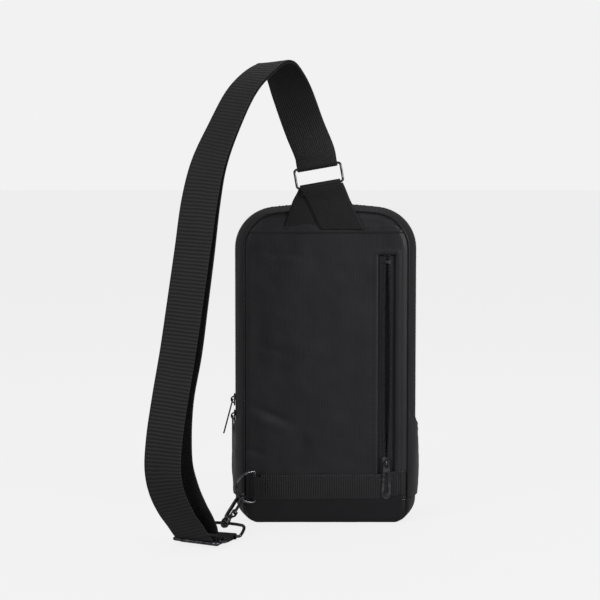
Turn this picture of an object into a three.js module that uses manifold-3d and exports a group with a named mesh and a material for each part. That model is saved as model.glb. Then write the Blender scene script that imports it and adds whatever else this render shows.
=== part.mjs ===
// Sling bag: a padded one-shoulder bag standing on its base, body side towards -Y.
// Millimetres, +Z up, +X to the wearer's right of the body side as it is looked at.
// The origin is the middle of the flat base. The strap is doubled webbing: it rises from the
// top ring, arches over and comes down to the adjuster and the hook that lie on the ground.
import * as THREE from 'three';
import { mergeVertices } from 'three/addons/utils/BufferGeometryUtils.js';
import Module from 'manifold-3d';

const wasm = await Module();
wasm.setup();

// ---- driving dimensions -------------------------------------------------------------------
const BAG_HALF_WIDTH = 92; // widest, half way through the depth
const SEAM_HALF_WIDTH = 83; // at the two piped seams
const PANEL_HALF_WIDTH = 80; // panels inside the piping
const BAG_TOP = 318;
const SEAM_TOP = 313.5;
const PANEL_TOP = 310.4;
const CROWN_RADIUS = 450; // gentle arch of the top edge
const CORNER_RADIUS = 42; // top corners at the widest section
const BASE_CORNER = { wide: 22, high: 19 }; // soft lower corners half way through the depth
const SEAM_CORNER = { wide: 15, high: 14 }; // tighter lower corners of the two flat faces
const BOOT_TOP = 23.5; // the base panel turns up this far
const SEAM_DEPTH = 40; // gusset runs between -SEAM_DEPTH and +SEAM_DEPTH
const PANEL_OUT = 43; // outer face of the flat back panel
const PANEL_THICK = 2.7;
const FABRIC = 2; // gusset cloth with its lining
const FIT = 0.35; // clearance between neighbours
const YOKE_SEAM = 291; // cross seam of the body side
const POCKET = { mouthAtMiddle: 84, slope: 0.65, floor: 25, inset: 7, cloth: 1.5, halfDepth: 36 };
const ZIP = { tapeWidth: 8, tapeThick: 1.2, gap: 2.4, endHeight: 93 };
const REAR_ZIP = { x: 60.2, low: 46, high: 268.5, slotHalf: 8.6, y: -41.7 };
const FRONT_ZIP = { z: 238, halfLength: 52, y: 50.2, slotHalf: 8.6 };
const SLOT_CORNER = 3;
const FRONT_DOME = 8; // how far the front face stands out
const LOWER_WEBBING = { low: 22, high: 47, thick: 1.1 };
const STRAP_WIDTH = 40;
const WEBBING_THICK = 1.6;
const GROUND_TURN = THREE.MathUtils.degToRad(-28); // adjuster and bail on the ground, in plan
const ADJUSTER_AT = new THREE.Vector3(-120, -143, 0);
const RING_AT = new THREE.Vector3(-7.6, -46.5, 346.5);
const RING_TILT = THREE.MathUtils.degToRad(-10);
const D_PIVOT = new THREE.Vector3(-71, -48.6, 37);
const D_TURN = THREE.MathUtils.degToRad(206); // direction of the D from its straight bar, in plan

// ---- finishes -----------------------------------------------------------------------------
function finish(color, roughness, metalness) {
  return new THREE.MeshStandardMaterial({ color, roughness, metalness });
}
const satinCloth = () => finish('#303236', 0.55, 0);
const wovenCloth = () => finish('#2b2d31', 0.8, 0);
const liningCloth = () => finish('#55585e', 0.85, 0);
const webbing = () => finish('#2a2b2e', 0.75, 0);
const zipTape = () => finish('#1d1e20', 0.8, 0);
const blackMetal = () => finish('#26272a', 0.35, 0.9);
const foam = () => finish('#3c3f44', 0.95, 0);
const stiffBoard = () => finish('#1b1b1c', 0.6, 0);

// ---- geometry helpers ---------------------------------------------------------------------
/** Keeps only merged positions and turns the faces outwards. */
function closed(source) {
  const bare = source.clone();
  bare.deleteAttribute('normal');
  bare.deleteAttribute('uv');
  const geometry = mergeVertices(bare, 1e-4);
  const position = geometry.getAttribute('position');
  const index = geometry.getIndex();
  const corners = [new THREE.Vector3(), new THREE.Vector3(), new THREE.Vector3()];
  let volume = 0;
  for (let i = 0; i < index.count; i += 3) {
    corners.forEach((corner, k) => corner.fromBufferAttribute(position, index.getX(i + k)));
    volume += corners[0].dot(corners[1].clone().cross(corners[2]));
  }
  if (volume < 0) {
    for (let i = 0; i < index.count; i += 3) {
      const first = index.getX(i);
      index.setX(i, index.getX(i + 1));
      index.setX(i + 1, first);
    }
  }
  geometry.computeVertexNormals();
  return geometry;
}

function toManifold(source) {
  const geometry = closed(source);
  return new wasm.Manifold(new wasm.Mesh({
    numProp: 3,
    vertProperties: new Float32Array(geometry.getAttribute('position').array),
    triVerts: new Uint32Array(geometry.getIndex().array),
  }));
}

function fromManifold(solid) {
  const mesh = solid.getMesh();
  const geometry = new THREE.BufferGeometry();
  geometry.setAttribute('position', new THREE.BufferAttribute(new Float32Array(mesh.vertProperties), 3));
  geometry.setIndex(new THREE.BufferAttribute(new Uint32Array(mesh.triVerts), 1));
  return geometry;
}

function join(first, ...others) {
  return fromManifold(others.reduce((sum, item) => sum.add(toManifold(item)), toManifold(first)));
}

function cut(first, ...tools) {
  return fromManifold(tools.reduce((rest, item) => rest.subtract(toManifold(item)), toManifold(first)));
}

function common(first, second) {
  return fromManifold(toManifold(first).intersect(toManifold(second)));
}

/** Box from its lowest corner to its highest. */
function box(low, high) {
  const geometry = new THREE.BoxGeometry(high[0] - low[0], high[1] - low[1], high[2] - low[2]);
  return geometry.translate((low[0] + high[0]) / 2, (low[1] + high[1]) / 2, (low[2] + high[2]) / 2);
}

/** Plate between two Y planes, drawn as a shape in X (across) and Z (up). */
function plate(shape, nearY, farY) {
  const geometry = new THREE.ExtrudeGeometry(shape, { depth: farY - nearY, bevelEnabled: false, curveSegments: 8 });
  return geometry.rotateX(Math.PI / 2).translate(0, farY, 0);
}

/** Bar with a section drawn in Y and Z, running across from lowX to highX. */
function crossBar(section, lowX, highX) {
  const geometry = new THREE.ExtrudeGeometry(
    section,
    { depth: highX - lowX, bevelEnabled: false, curveSegments: 6 },
  );
  const turn = new THREE.Matrix4().makeBasis(
    new THREE.Vector3(0, 1, 0), new THREE.Vector3(0, 0, 1), new THREE.Vector3(1, 0, 0),
  );
  return geometry.applyMatrix4(turn).translate(lowX, 0, 0);
}

/** Closed solid between two matching grids of points, an outer face and an inner face. */
function sheetSolid(outer, inner) {
  const rows = outer.length;
  const columns = outer[0].length;
  const points = [...outer.flat(), ...inner.flat()];
  const at = (layer, row, column) => layer * rows * columns + row * columns + column;
  const triangles = [];
  const quad = (a, b, c, d) => triangles.push(a, b, c, a, c, d);
  for (let row = 0; row < rows - 1; row += 1) {
    for (let column = 0; column < columns - 1; column += 1) {
      quad(at(0, row, column), at(0, row, column + 1), at(0, row + 1, column + 1), at(0, row + 1, column));
      quad(at(1, row, column), at(1, row + 1, column), at(1, row + 1, column + 1), at(1, row, column + 1));
    }
  }
  const lastRow = rows - 1;
  for (let column = 0; column < columns - 1; column += 1) {
    quad(at(0, 0, column), at(1, 0, column), at(1, 0, column + 1), at(0, 0, column + 1));
    quad(at(0, lastRow, column), at(0, lastRow, column + 1), at(1, lastRow, column + 1), at(1, lastRow, column));
  }
  const lastColumn = columns - 1;
  for (let row = 0; row < rows - 1; row += 1) {
    quad(at(0, row, 0), at(0, row + 1, 0), at(1, row + 1, 0), at(1, row, 0));
    quad(at(0, row, lastColumn), at(1, row, lastColumn), at(1, row + 1, lastColumn), at(0, row + 1, lastColumn));
  }
  const geometry = new THREE.BufferGeometry().setFromPoints(points);
  geometry.setIndex(triangles);
  return geometry;
}

/** Round wire bent into a closed loop through the given points. */
function closedWire(points, radius, steps = 48, sides = 6) {
  const path = new THREE.CatmullRomCurve3(points, true, 'centripetal');
  return new THREE.TubeGeometry(path, steps, radius, sides, true);
}

/** Round wire or cord along an open run of points. */
function openWire(points, radius, steps, sides = 6) {
  const path = new THREE.CatmullRomCurve3(points, false, 'centripetal');
  const section = new THREE.Shape();
  for (let side = 0; side < sides; side += 1) {
    const angle = (2 * Math.PI * side) / sides;
    const method = side === 0 ? 'moveTo' : 'lineTo';
    section[method](radius * Math.cos(angle), radius * Math.sin(angle));
  }
  section.closePath();
  return new THREE.ExtrudeGeometry(section, { steps, extrudePath: path, bevelEnabled: false });
}

/** Round rod between two points. */
function rod(from, to, radius, sides = 12) {
  const span = to.clone().sub(from);
  const geometry = new THREE.CylinderGeometry(radius, radius, span.length(), sides);
  const turn = new THREE.Quaternion().setFromUnitVectors(new THREE.Vector3(0, 1, 0), span.clone().normalize());
  const middle = from.clone().add(to).multiplyScalar(0.5);
  return geometry.applyQuaternion(turn).translate(middle.x, middle.y, middle.z);
}

/** Corners of a rounded rectangle about the origin, as points in a plane. */
function roundedRectangle(halfWide, halfHigh, radius, cornerSteps = 3) {
  const points = [];
  for (let corner = 0; corner < 4; corner += 1) {
    const centreX = (corner === 0 || corner === 3 ? 1 : -1) * (halfWide - radius);
    const centreY = (corner < 2 ? 1 : -1) * (halfHigh - radius);
    for (let step = 0; step <= cornerSteps; step += 1) {
      const angle = (Math.PI / 2) * (corner + step / cornerSteps);
      points.push(new THREE.Vector2(centreX + radius * Math.cos(angle), centreY + radius * Math.sin(angle)));
    }
  }
  return points;
}

function addPart(parent, name, geometry, material) {
  const mesh = new THREE.Mesh(closed(geometry), material);
  mesh.name = name;
  parent.add(mesh);
  return mesh;
}

// ---- the arch outline shared by panels and gusset -------------------------------------------
/** Open outline from the right foot, over the crown, to the left foot. */
function archOutline(halfWidth, top, corner, bottom, inset = 0) {
  const cornerX = halfWidth - corner;
  const rise = Math.sqrt((CROWN_RADIUS - corner) ** 2 - cornerX ** 2);
  const cornerZ = top - CROWN_RADIUS + rise;
  const lean = Math.atan2(cornerX, rise);
  const right = [];
  if (inset > 0) {
    right.push([halfWidth - inset, bottom], [halfWidth - inset, POCKET.mouthAtMiddle], [halfWidth, ZIP.endHeight]);
  } else {
    right.push([halfWidth, bottom]);
  }
  const cornerSteps = 7;
  for (let step = 0; step <= cornerSteps; step += 1) {
    const angle = ((Math.PI / 2 - lean) * step) / cornerSteps;
    right.push([cornerX + corner * Math.cos(angle), cornerZ + corner * Math.sin(angle)]);
  }
  const crownSteps = 3;
  for (let step = 1; step <= crownSteps; step += 1) {
    const angle = lean * (1 - step / crownSteps);
    right.push([CROWN_RADIUS * Math.sin(angle), top - CROWN_RADIUS + CROWN_RADIUS * Math.cos(angle)]);
  }
  const left = right.slice(0, -1).reverse().map(([x, z]) => [-x, z]);
  return [...right, ...left].map(([x, z]) => new THREE.Vector2(x, z));
}

/** Share of the gusset's outward swell at a depth: 0 at the seams and 1 half way. */
function swell(y) {
  return 1 - Math.abs(y / SEAM_DEPTH) ** 2.4;
}

function halfWidthAt(y) {
  return SEAM_HALF_WIDTH + (BAG_HALF_WIDTH - SEAM_HALF_WIDTH) * swell(y);
}

function topAt(y) {
  return SEAM_TOP + (BAG_TOP - SEAM_TOP) * swell(y);
}

/** Strip of gusset cloth or zip tape that follows the arch between two depths. */
function archBand(nearY, farY, bottom, thick, rows, inset) {
  const outer = [];
  const inner = [];
  for (let row = 0; row <= rows; row += 1) {
    const y = nearY + ((farY - nearY) * row) / rows;
    const wide = halfWidthAt(y);
    const high = topAt(y);
    const ring = (points) => points.map((point) => new THREE.Vector3(point.x, y, point.y));
    outer.push(ring(archOutline(wide, high, CORNER_RADIUS, bottom, inset)));
    inner.push(ring(archOutline(wide - thick, high - thick, CORNER_RADIUS - thick, bottom, inset)));
  }
  return sheetSolid(outer, inner);
}

/** Outline of a whole arch panel with soft lower corners. */
function panelShape(halfWidth, top) {
  const arch = archOutline(halfWidth, top, CORNER_RADIUS - 6, SEAM_CORNER.high);
  const foot = [];
  for (let step = 1; step <= 5; step += 1) {
    const angle = (Math.PI / 2) * (step / 5);
    const x = halfWidth - SEAM_CORNER.wide * (1 - Math.cos(angle));
    foot.push(new THREE.Vector2(x, SEAM_CORNER.high * (1 - Math.sin(angle))));
  }
  const leftFoot = foot.map((point) => new THREE.Vector2(-point.x, point.y));
  return new THREE.Shape([...arch, ...leftFoot, ...foot.reverse()]);
}

/** Flat arch panel between two heights. */
function archPlate(low, high, nearY, farY, halfWidth = PANEL_HALF_WIDTH, top = PANEL_TOP) {
  const keep = box([-BAG_HALF_WIDTH, nearY - 1, low], [BAG_HALF_WIDTH, farY + 1, high]);
  return common(plate(panelShape(halfWidth, top), nearY, farY), keep);
}

/** Stadium-shaped plug that cuts a zip opening; long axis along Z or X. */
function slotPlug(centre, halfLength, halfWide, nearY, farY, alongX) {
  const shape = new THREE.Shape(roundedRectangle(halfWide, halfLength, SLOT_CORNER, 3));
  const geometry = plate(shape, nearY, farY);
  if (alongX) {
    geometry.rotateY(Math.PI / 2);
  }
  return geometry.translate(centre[0], 0, centre[1]);
}

const bag = new THREE.Group();

// ---- body side -------------------------------------------------------------------------------
const rearSlot = slotPlug(
  [REAR_ZIP.x, (REAR_ZIP.low + REAR_ZIP.high) / 2],
  (REAR_ZIP.high - REAR_ZIP.low) / 2,
  REAR_ZIP.slotHalf, -PANEL_OUT - 5, -PANEL_OUT + 10, false,
);
const innerBack = -PANEL_OUT + PANEL_THICK;
addPart(bag, 'back_panel', cut(archPlate(24, YOKE_SEAM - 0.2, -PANEL_OUT, innerBack), rearSlot), satinCloth());
addPart(bag, 'back_yoke', archPlate(YOKE_SEAM + 0.2, 400, -PANEL_OUT, innerBack), satinCloth());
addPart(bag, 'base_back_facing', archPlate(-1, BOOT_TOP, -PANEL_OUT, innerBack), wovenCloth());
addPart(bag, 'rear_pocket_lining', archPlate(30, 296, -32.4, -31.2, 77, 305), liningCloth());
addPart(bag, 'back_foam_pad', archPlate(30, 296, -30.8, -25.8, 77, 305), foam());

/** One side of an open zip: a tape whose inner edge stands back in a long shallow bow. */
function bowedTape(side, bow) {
  const steps = 10;
  const outer = [];
  const inner = [];
  for (let step = 0; step <= steps; step += 1) {
    const share = step / steps;
    const z = REAR_ZIP.low + SLOT_CORNER + (REAR_ZIP.high - REAR_ZIP.low - 2 * SLOT_CORNER) * share;
    const near = REAR_ZIP.x + side * (ZIP.gap / 2 + bow * Math.sin(Math.PI * share));
    const far = REAR_ZIP.x + side * (REAR_ZIP.slotHalf - FIT);
    const y = REAR_ZIP.y;
    outer.push([new THREE.Vector3(near, y - ZIP.tapeThick / 2, z), new THREE.Vector3(far, y - ZIP.tapeThick / 2, z)]);
    inner.push([new THREE.Vector3(near, y + ZIP.tapeThick / 2, z), new THREE.Vector3(far, y + ZIP.tapeThick / 2, z)]);
  }
  return sheetSolid(outer, inner);
}
addPart(bag, 'rear_zip_tape_left', bowedTape(-1, 1.2), zipTape());
addPart(bag, 'rear_zip_tape_right', bowedTape(1, 1.8), zipTape());
addPart(bag, 'rear_zip_top_stop', box([REAR_ZIP.x - 4, -43.6, 260], [REAR_ZIP.x + 4, -42.6, 263]), blackMetal());

// ---- gusset, main zip and base -----------------------------------------------------------------
const tapeInner = ZIP.gap / 2;
const tapeOuter = tapeInner + ZIP.tapeWidth;
const stripEdge = tapeOuter + FIT;
addPart(bag, 'gusset_rear', archBand(-SEAM_DEPTH, -stripEdge, BOOT_TOP + 0.5, FABRIC, 3, POCKET.inset), wovenCloth());
addPart(bag, 'gusset_front', archBand(stripEdge, SEAM_DEPTH, BOOT_TOP + 0.5, FABRIC, 3, POCKET.inset), wovenCloth());
addPart(bag, 'main_zip_tape_rear', archBand(-tapeOuter, -tapeInner, ZIP.endHeight, ZIP.tapeThick, 1, 0), zipTape());
addPart(bag, 'main_zip_tape_front', archBand(tapeInner, tapeOuter, ZIP.endHeight, ZIP.tapeThick, 1, 0), zipTape());

for (const [side, word] of [[-1, 'left'], [1, 'right']]) {
  const wallX = BAG_HALF_WIDTH - POCKET.inset;
  const near = Math.min(side * (wallX - 1.6), side * wallX);
  const panel = box([near, -tapeOuter, BOOT_TOP + 0.5], [near + 1.6, tapeOuter, POCKET.mouthAtMiddle]);
  addPart(bag, `zip_end_panel_${word}`, panel, wovenCloth());

  const outer = [];
  const inner = [];
  const depthSteps = 8;
  for (let row = 0; row <= depthSteps; row += 1) {
    const y = -POCKET.halfDepth + (2 * POCKET.halfDepth * row) / depthSteps;
    const mouth = POCKET.mouthAtMiddle - POCKET.slope * y;
    const x = halfWidthAt(y) + FIT;
    const heights = [POCKET.floor, (POCKET.floor + mouth) / 2, mouth];
    outer.push(heights.map((z) => new THREE.Vector3(side * (x + POCKET.cloth), y, z)));
    inner.push(heights.map((z) => new THREE.Vector3(side * x, y, z)));
  }
  addPart(bag, `side_pocket_${word}`, sheetSolid(outer, inner), satinCloth());
}

/** Section of the base boot at one depth, from the left wall under to the right wall. */
function bootOutline(y, thick) {
  const halfWidth = halfWidthAt(y);
  const cornerWide = THREE.MathUtils.lerp(SEAM_CORNER.wide, BASE_CORNER.wide, swell(y));
  const cornerHigh = THREE.MathUtils.lerp(SEAM_CORNER.high, BASE_CORNER.high, swell(y));
  const steps = 5;
  const right = [[halfWidth - thick, BOOT_TOP]];
  for (let step = 0; step <= steps; step += 1) {
    const angle = (Math.PI / 2) * (step / steps);
    const x = halfWidth - cornerWide + (cornerWide - thick) * Math.cos(angle);
    right.push([x, cornerHigh - (cornerHigh - thick) * Math.sin(angle)]);
  }
  const left = right.map(([x, z]) => [-x, z]).reverse();
  return [...right, ...left];
}
const bootRows = { outer: [], inner: [] };
for (let row = 0; row <= 8; row += 1) {
  const y = -SEAM_DEPTH + (2 * SEAM_DEPTH * row) / 8;
  const ring = (thick) => bootOutline(y, thick).map(([x, z]) => new THREE.Vector3(x, y, z));
  bootRows.outer.push(ring(0));
  bootRows.inner.push(ring(FABRIC));
}
addPart(bag, 'base_boot', sheetSolid(bootRows.outer, bootRows.inner), wovenCloth());
addPart(bag, 'base_stiffener', box([-64, -36, FABRIC + 0.4], [64, 36, FABRIC + 2.4]), stiffBoard());

// ---- front face ---------------------------------------------------------------------------------
/** Block whose outer face swells towards +Y with a flat middle. */
function domedSheet() {
  const outer = [];
  const inner = [];
  for (let row = 0; row <= 10; row += 1) {
    const z = 20 + 30 * row;
    const line = { out: [], back: [] };
    for (let column = 0; column <= 10; column += 1) {
      const x = -85 + 17 * column;
      const across = Math.min(1, Math.abs(x / 81));
      const up = Math.min(1, Math.abs((z - 168) / 146));
      const y = PANEL_OUT - 1.2 + FRONT_DOME * (1 - across ** 6) * (1 - up ** 6);
      line.out.push(new THREE.Vector3(x, y + 1.6, z));
      line.back.push(new THREE.Vector3(x, y, z));
    }
    outer.push(line.out);
    inner.push(line.back);
  }
  return sheetSolid(outer, inner);
}
const frontSlot = slotPlug([0, FRONT_ZIP.z], FRONT_ZIP.halfLength + 6, FRONT_ZIP.slotHalf, 30, 70, true);
const frontFace = common(domedSheet(), archPlate(24, 400, 35, 60));
addPart(bag, 'front_pocket_face', cut(frontFace, frontSlot), satinCloth());
addPart(bag, 'front_panel', archPlate(24, 400, 40.3, 41.5, 79, 309.5), satinCloth());
addPart(bag, 'base_front_facing', archPlate(-1, BOOT_TOP, innerBack * -1, PANEL_OUT), wovenCloth());
for (const [side, word] of [[-1, 'lower'], [1, 'upper']]) {
  const near = FRONT_ZIP.z + side * (ZIP.gap / 2);
  const far = FRONT_ZIP.z + side * (FRONT_ZIP.slotHalf - FIT);
  const reach = FRONT_ZIP.halfLength + 1;
  const low = [-reach, FRONT_ZIP.y - ZIP.tapeThick / 2, Math.min(near, far)];
  const high = [reach, FRONT_ZIP.y + ZIP.tapeThick / 2, Math.max(near, far)];
  addPart(bag, `front_zip_tape_${word}`, box(low, high), zipTape());
}

// ---- piping round both faces -----------------------------------------------------------------------
for (const [side, word] of [[-1, 'back'], [1, 'front']]) {
  const outline = archOutline(SEAM_HALF_WIDTH - 1.3, SEAM_TOP - 1.3, CORNER_RADIUS - 5, BOOT_TOP + 1);
  const points = outline.map((point) => new THREE.Vector3(point.x, side * (PANEL_OUT - 1.3), point.y));
  addPart(bag, `piping_${word}`, openWire(points, 0.95, 38, 6), satinCloth());
}

// ---- inside -------------------------------------------------------------------------------------------
addPart(bag, 'inner_divider', archPlate(8, 235, 6, 9.5, 76, 305), liningCloth());

// ---- lower webbing with the D-ring fold ------------------------------------------------------------------
const webbingNear = -PANEL_OUT - FIT - LOWER_WEBBING.thick;
addPart(
  bag, 'lower_webbing',
  box([-63, webbingNear, LOWER_WEBBING.low], [80, webbingNear + LOWER_WEBBING.thick, LOWER_WEBBING.high]),
  webbing(),
);

/** C-shaped fold of webbing round a bar: a ring section with a tail, extruded to the webbing's width. */
function foldSection(bore, thick, tail) {
  const shape = new THREE.Shape();
  const outerRadius = bore + thick;
  shape.absarc(0, 0, outerRadius, Math.PI / 2, -Math.PI / 2 - 0.001, false);
  shape.lineTo(tail, -outerRadius);
  shape.lineTo(tail, -outerRadius + thick);
  shape.lineTo(0, -bore);
  shape.absarc(0, 0, bore, -Math.PI / 2, Math.PI / 2, true);
  shape.closePath();
  return shape;
}
const foldThick = 1;
const foldBore = 3.2;
const foldLow = 24.6;
const foldHeight = LOWER_WEBBING.high - 0.5 - foldLow;
const dFold = new THREE.ExtrudeGeometry(
  foldSection(foldBore, foldThick, 7.4),
  { depth: foldHeight, bevelEnabled: false, curveSegments: 8 },
);
dFold.scale(1, -1, 1);
addPart(bag, 'd_ring_fold', dFold.translate(D_PIVOT.x, D_PIVOT.y, foldLow), webbing());

// ---- D-ring ---------------------------------------------------------------------------------------------
const dRing = new THREE.Group();
dRing.position.copy(D_PIVOT);
dRing.rotation.z = D_TURN;
bag.add(dRing);
const D_HALF_HEIGHT = 15.5;
const D_REACH = 20;
const D_WIRE = 1.5;
const dPoints = [];
for (let step = 0; step <= 10; step += 1) {
  const angle = Math.PI * (step / 10 - 0.5);
  dPoints.push(new THREE.Vector3(2 + (D_REACH - 2) * Math.cos(angle), 0, D_HALF_HEIGHT * Math.sin(angle)));
}
dPoints.push(new THREE.Vector3(0, 0, D_HALF_HEIGHT - 2), new THREE.Vector3(0, 0, 0));
dPoints.push(new THREE.Vector3(0, 0, 2 - D_HALF_HEIGHT));
addPart(dRing, 'd_ring', closedWire(dPoints, D_WIRE, 36, 8), blackMetal());

// ---- top tab: one webbing in a V, folded over the ring's lower bar ------------------------------------------
/** Flat slanted webbing leg between a lower and an upper edge centre. */
function slantedLeg(lowX, highX, lowZ, highZ, wide, nearY, thick) {
  const shape = new THREE.Shape();
  shape.moveTo(lowX - wide / 2, lowZ);
  shape.lineTo(lowX + wide / 2, lowZ);
  shape.lineTo(highX + wide / 2, highZ);
  shape.lineTo(highX - wide / 2, highZ);
  shape.closePath();
  return plate(shape, nearY, nearY + thick);
}
const TAB_THICK = 1.3;
const TAB_CUT = 325.4; // the loop over the ring turns with the strap above this height
const legY = -PANEL_OUT - FIT - TAB_THICK;
addPart(bag, 'tab_back_leg', slantedLeg(-22, -9.8, 293.5, TAB_CUT, 43, legY, TAB_THICK), webbing());
addPart(
  bag, 'tab_front_leg',
  slantedLeg(16, -0.4, 293.5, TAB_CUT, 43.5, legY - TAB_THICK - FIT, TAB_THICK),
  webbing(),
);

// ---- top ring, turning with the strap ------------------------------------------------------------------
const ring = new THREE.Group();
ring.position.copy(RING_AT);
ring.rotation.y = RING_TILT;
bag.add(ring);
const RING_WIRE = 1.15;
const RING_HALF = { wide: 23, high: 9.3 };
const ringPoints = roundedRectangle(RING_HALF.wide, RING_HALF.high, 2, 3)
  .map((point) => new THREE.Vector3(point.x, 0, point.y));
addPart(ring, 'top_ring', closedWire(ringPoints, RING_WIRE, 50, 6), blackMetal());

/** Section of webbing folded round a bar: a round end with two legs that run away from it. */
function foldedSection(boreRadius, thick, legLength, legHalfGap) {
  const outerRadius = boreRadius + thick;
  const section = new THREE.Shape();
  section.absarc(0, 0, outerRadius, 0, Math.PI, false);
  section.lineTo(-legHalfGap - thick, -legLength);
  section.lineTo(-legHalfGap, -legLength);
  section.lineTo(-boreRadius, 0);
  section.absarc(0, 0, boreRadius, Math.PI, 0, true);
  section.lineTo(legHalfGap, -legLength);
  section.lineTo(legHalfGap + thick, -legLength);
  section.closePath();
  return section;
}
const ringBore = RING_WIRE + 0.45;
const tabLoop = crossBar(foldedSection(ringBore, TAB_THICK, 7.2, 0.25), -21.2, 21.2);
addPart(ring, 'tab_ring_loop', tabLoop.translate(0, 0, -RING_HALF.high), webbing());
const strapTurn = crossBar(foldedSection(ringBore, WEBBING_THICK, 3, ringBore), -STRAP_WIDTH / 2, STRAP_WIDTH / 2);
addPart(
  ring, 'strap_ring_turn',
  strapTurn.rotateX(Math.PI).translate(0, 0, RING_HALF.high),
  webbing(),
);

// ---- doubled strap ---------------------------------------------------------------------------------------
/** Point on or over the ground beside the adjuster: across it, along it and up. */
function ground(across, along, up) {
  const offset = new THREE.Vector3(across, along, up).applyAxisAngle(new THREE.Vector3(0, 0, 1), GROUND_TURN);
  return offset.add(ADJUSTER_AT);
}
const groundAcross = new THREE.Vector3(1, 0, 0).applyAxisAngle(new THREE.Vector3(0, 0, 1), GROUND_TURN);

/** Ribbon of webbing through stations, each a centre point and a direction across the width. */
function ribbon(stations, width, thick, steps) {
  const middle = new THREE.CatmullRomCurve3(stations.map((station) => station.at), false, 'centripetal');
  const across = new THREE.CatmullRomCurve3(stations.map((station) => station.across), false, 'centripetal');
  const faces = { outer: [], inner: [] };
  for (let step = 0; step <= steps; step += 1) {
    const share = step / steps;
    const along = middle.getTangent(share);
    const wide = across.getPoint(share);
    wide.addScaledVector(along, -wide.dot(along)).normalize();
    const normal = wide.clone().cross(along).normalize();
    const centre = middle.getPoint(share);
    const edge = (side, face) => centre.clone()
      .addScaledVector(wide, (side * width) / 2)
      .addScaledVector(normal, (face * thick) / 2);
    faces.outer.push([edge(-1, -1), edge(1, -1)]);
    faces.inner.push([edge(-1, 1), edge(1, 1)]);
  }
  return sheetSolid(faces.outer, faces.inner);
}

// Outer layer from the ring over the arch: centre, direction across, and distance to the inner layer.
const ARCH = [
  [[-9.9, -44.1, 359.6], [0.985, 0, 0.17], 4.8],
  [[-11.3, -44, 367.5], [0.98, 0, 0.19], 4.4],
  [[-21.5, -42.8, 393], [0.95, 0, 0.3], 2.5],
  [[-34, -45.5, 428], [0.95, -0.1, 0.28], 2.6],
  [[-46.5, -57, 449], [0.93, -0.28, 0.12], 3],
  [[-56.5, -74, 453], [0.9, -0.44, -0.03], 3.1],
  [[-67.5, -90, 444], [0.74, -0.66, -0.14], 3],
  [[-81.5, -102, 426.5], [0.69, -0.7, -0.16], 3],
  [[-99.5, -113, 390.5], [0.72, -0.67, -0.18], 3.2],
  [[-112.5, -121, 357], [0.79, -0.59, -0.13], 3.8],
  [[-120.3, -127, 323.5], [0.84, -0.53, -0.07], 5.5],
  [[-127, -134, 277], [0.87, -0.49, -0.05], 8],
  [[-133.5, -141, 230], [0.87, -0.49, -0.05], 9.5],
  [[-140, -148, 184], [0.87, -0.49, -0.05], 11],
];
const archStations = ARCH.map(([at, across]) => ({
  at: new THREE.Vector3(...at),
  across: new THREE.Vector3(...across).normalize(),
}));
const outerFall = [[-18.7, -23.5, 138], [-21, -30.5, 101], [-20.5, -34.5, 74], [-16.5, -35, 54],
  [-9.5, -30.5, 34], [-2, -21, 17], [0, -15.5, 6], [0, -12, 2], [0, -8, 1.3], [0, 0, 1.3], [0, 10, 1.4]];
const innerFall = [[-19.5, -10.5, 138], [-21, -12, 101], [-19, -12.5, 74], [-13, -11.5, 54],
  [-7, -8, 38], [-2, -3.4, 25], [-0.2, -0.6, 17], [0, 0, 11]];
const groundStation = ([across, along, up]) => ({ at: ground(across, along, up), across: groundAcross });
addPart(bag, 'strap_outer_run', ribbon(
  [...archStations, ...outerFall.map(groundStation)], STRAP_WIDTH, WEBBING_THICK, 72,
), webbing());

const innerArch = archStations.map((station, index) => {
  const next = archStations[Math.min(index + 1, archStations.length - 1)].at;
  const last = archStations[Math.max(index - 1, 0)].at;
  const along = next.clone().sub(last).normalize();
  const inwards = along.clone().cross(station.across).normalize();
  return { at: station.at.clone().addScaledVector(inwards, -ARCH[index][2]), across: station.across };
});
addPart(bag, 'strap_inner_run', ribbon(
  [...innerArch, ...innerFall.map(groundStation)], STRAP_WIDTH, WEBBING_THICK, 64,
), webbing());

// ---- adjuster: a three-bar slide, with the strap's end sewn round its middle bar ------------------------------
const adjuster = new THREE.Group();
adjuster.position.copy(ADJUSTER_AT);
adjuster.rotation.z = GROUND_TURN;
bag.add(adjuster);
const SLIDE = { halfLength: 24, halfDepth: 9.5, wire: 1.5, height: 5.4 };
const slidePoints = roundedRectangle(SLIDE.halfLength, SLIDE.halfDepth, 3, 3)
  .map((point) => new THREE.Vector3(point.x, point.y, SLIDE.height));
const middleBar = rod(
  new THREE.Vector3(-SLIDE.halfLength, 0, SLIDE.height),
  new THREE.Vector3(SLIDE.halfLength, 0, SLIDE.height),
  SLIDE.wire * 0.95, 8,
);
addPart(adjuster, 'adjuster', join(closedWire(slidePoints, SLIDE.wire, 48, 6), middleBar), blackMetal());
const endLoop = crossBar(foldedSection(SLIDE.wire + 0.3, 1.1, 4.4, 0.2), -20.6, 20.6);
addPart(
  adjuster, 'strap_end_loop',
  endLoop.rotateX(Math.PI).translate(0, 0, SLIDE.height),
  webbing(),
);

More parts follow.
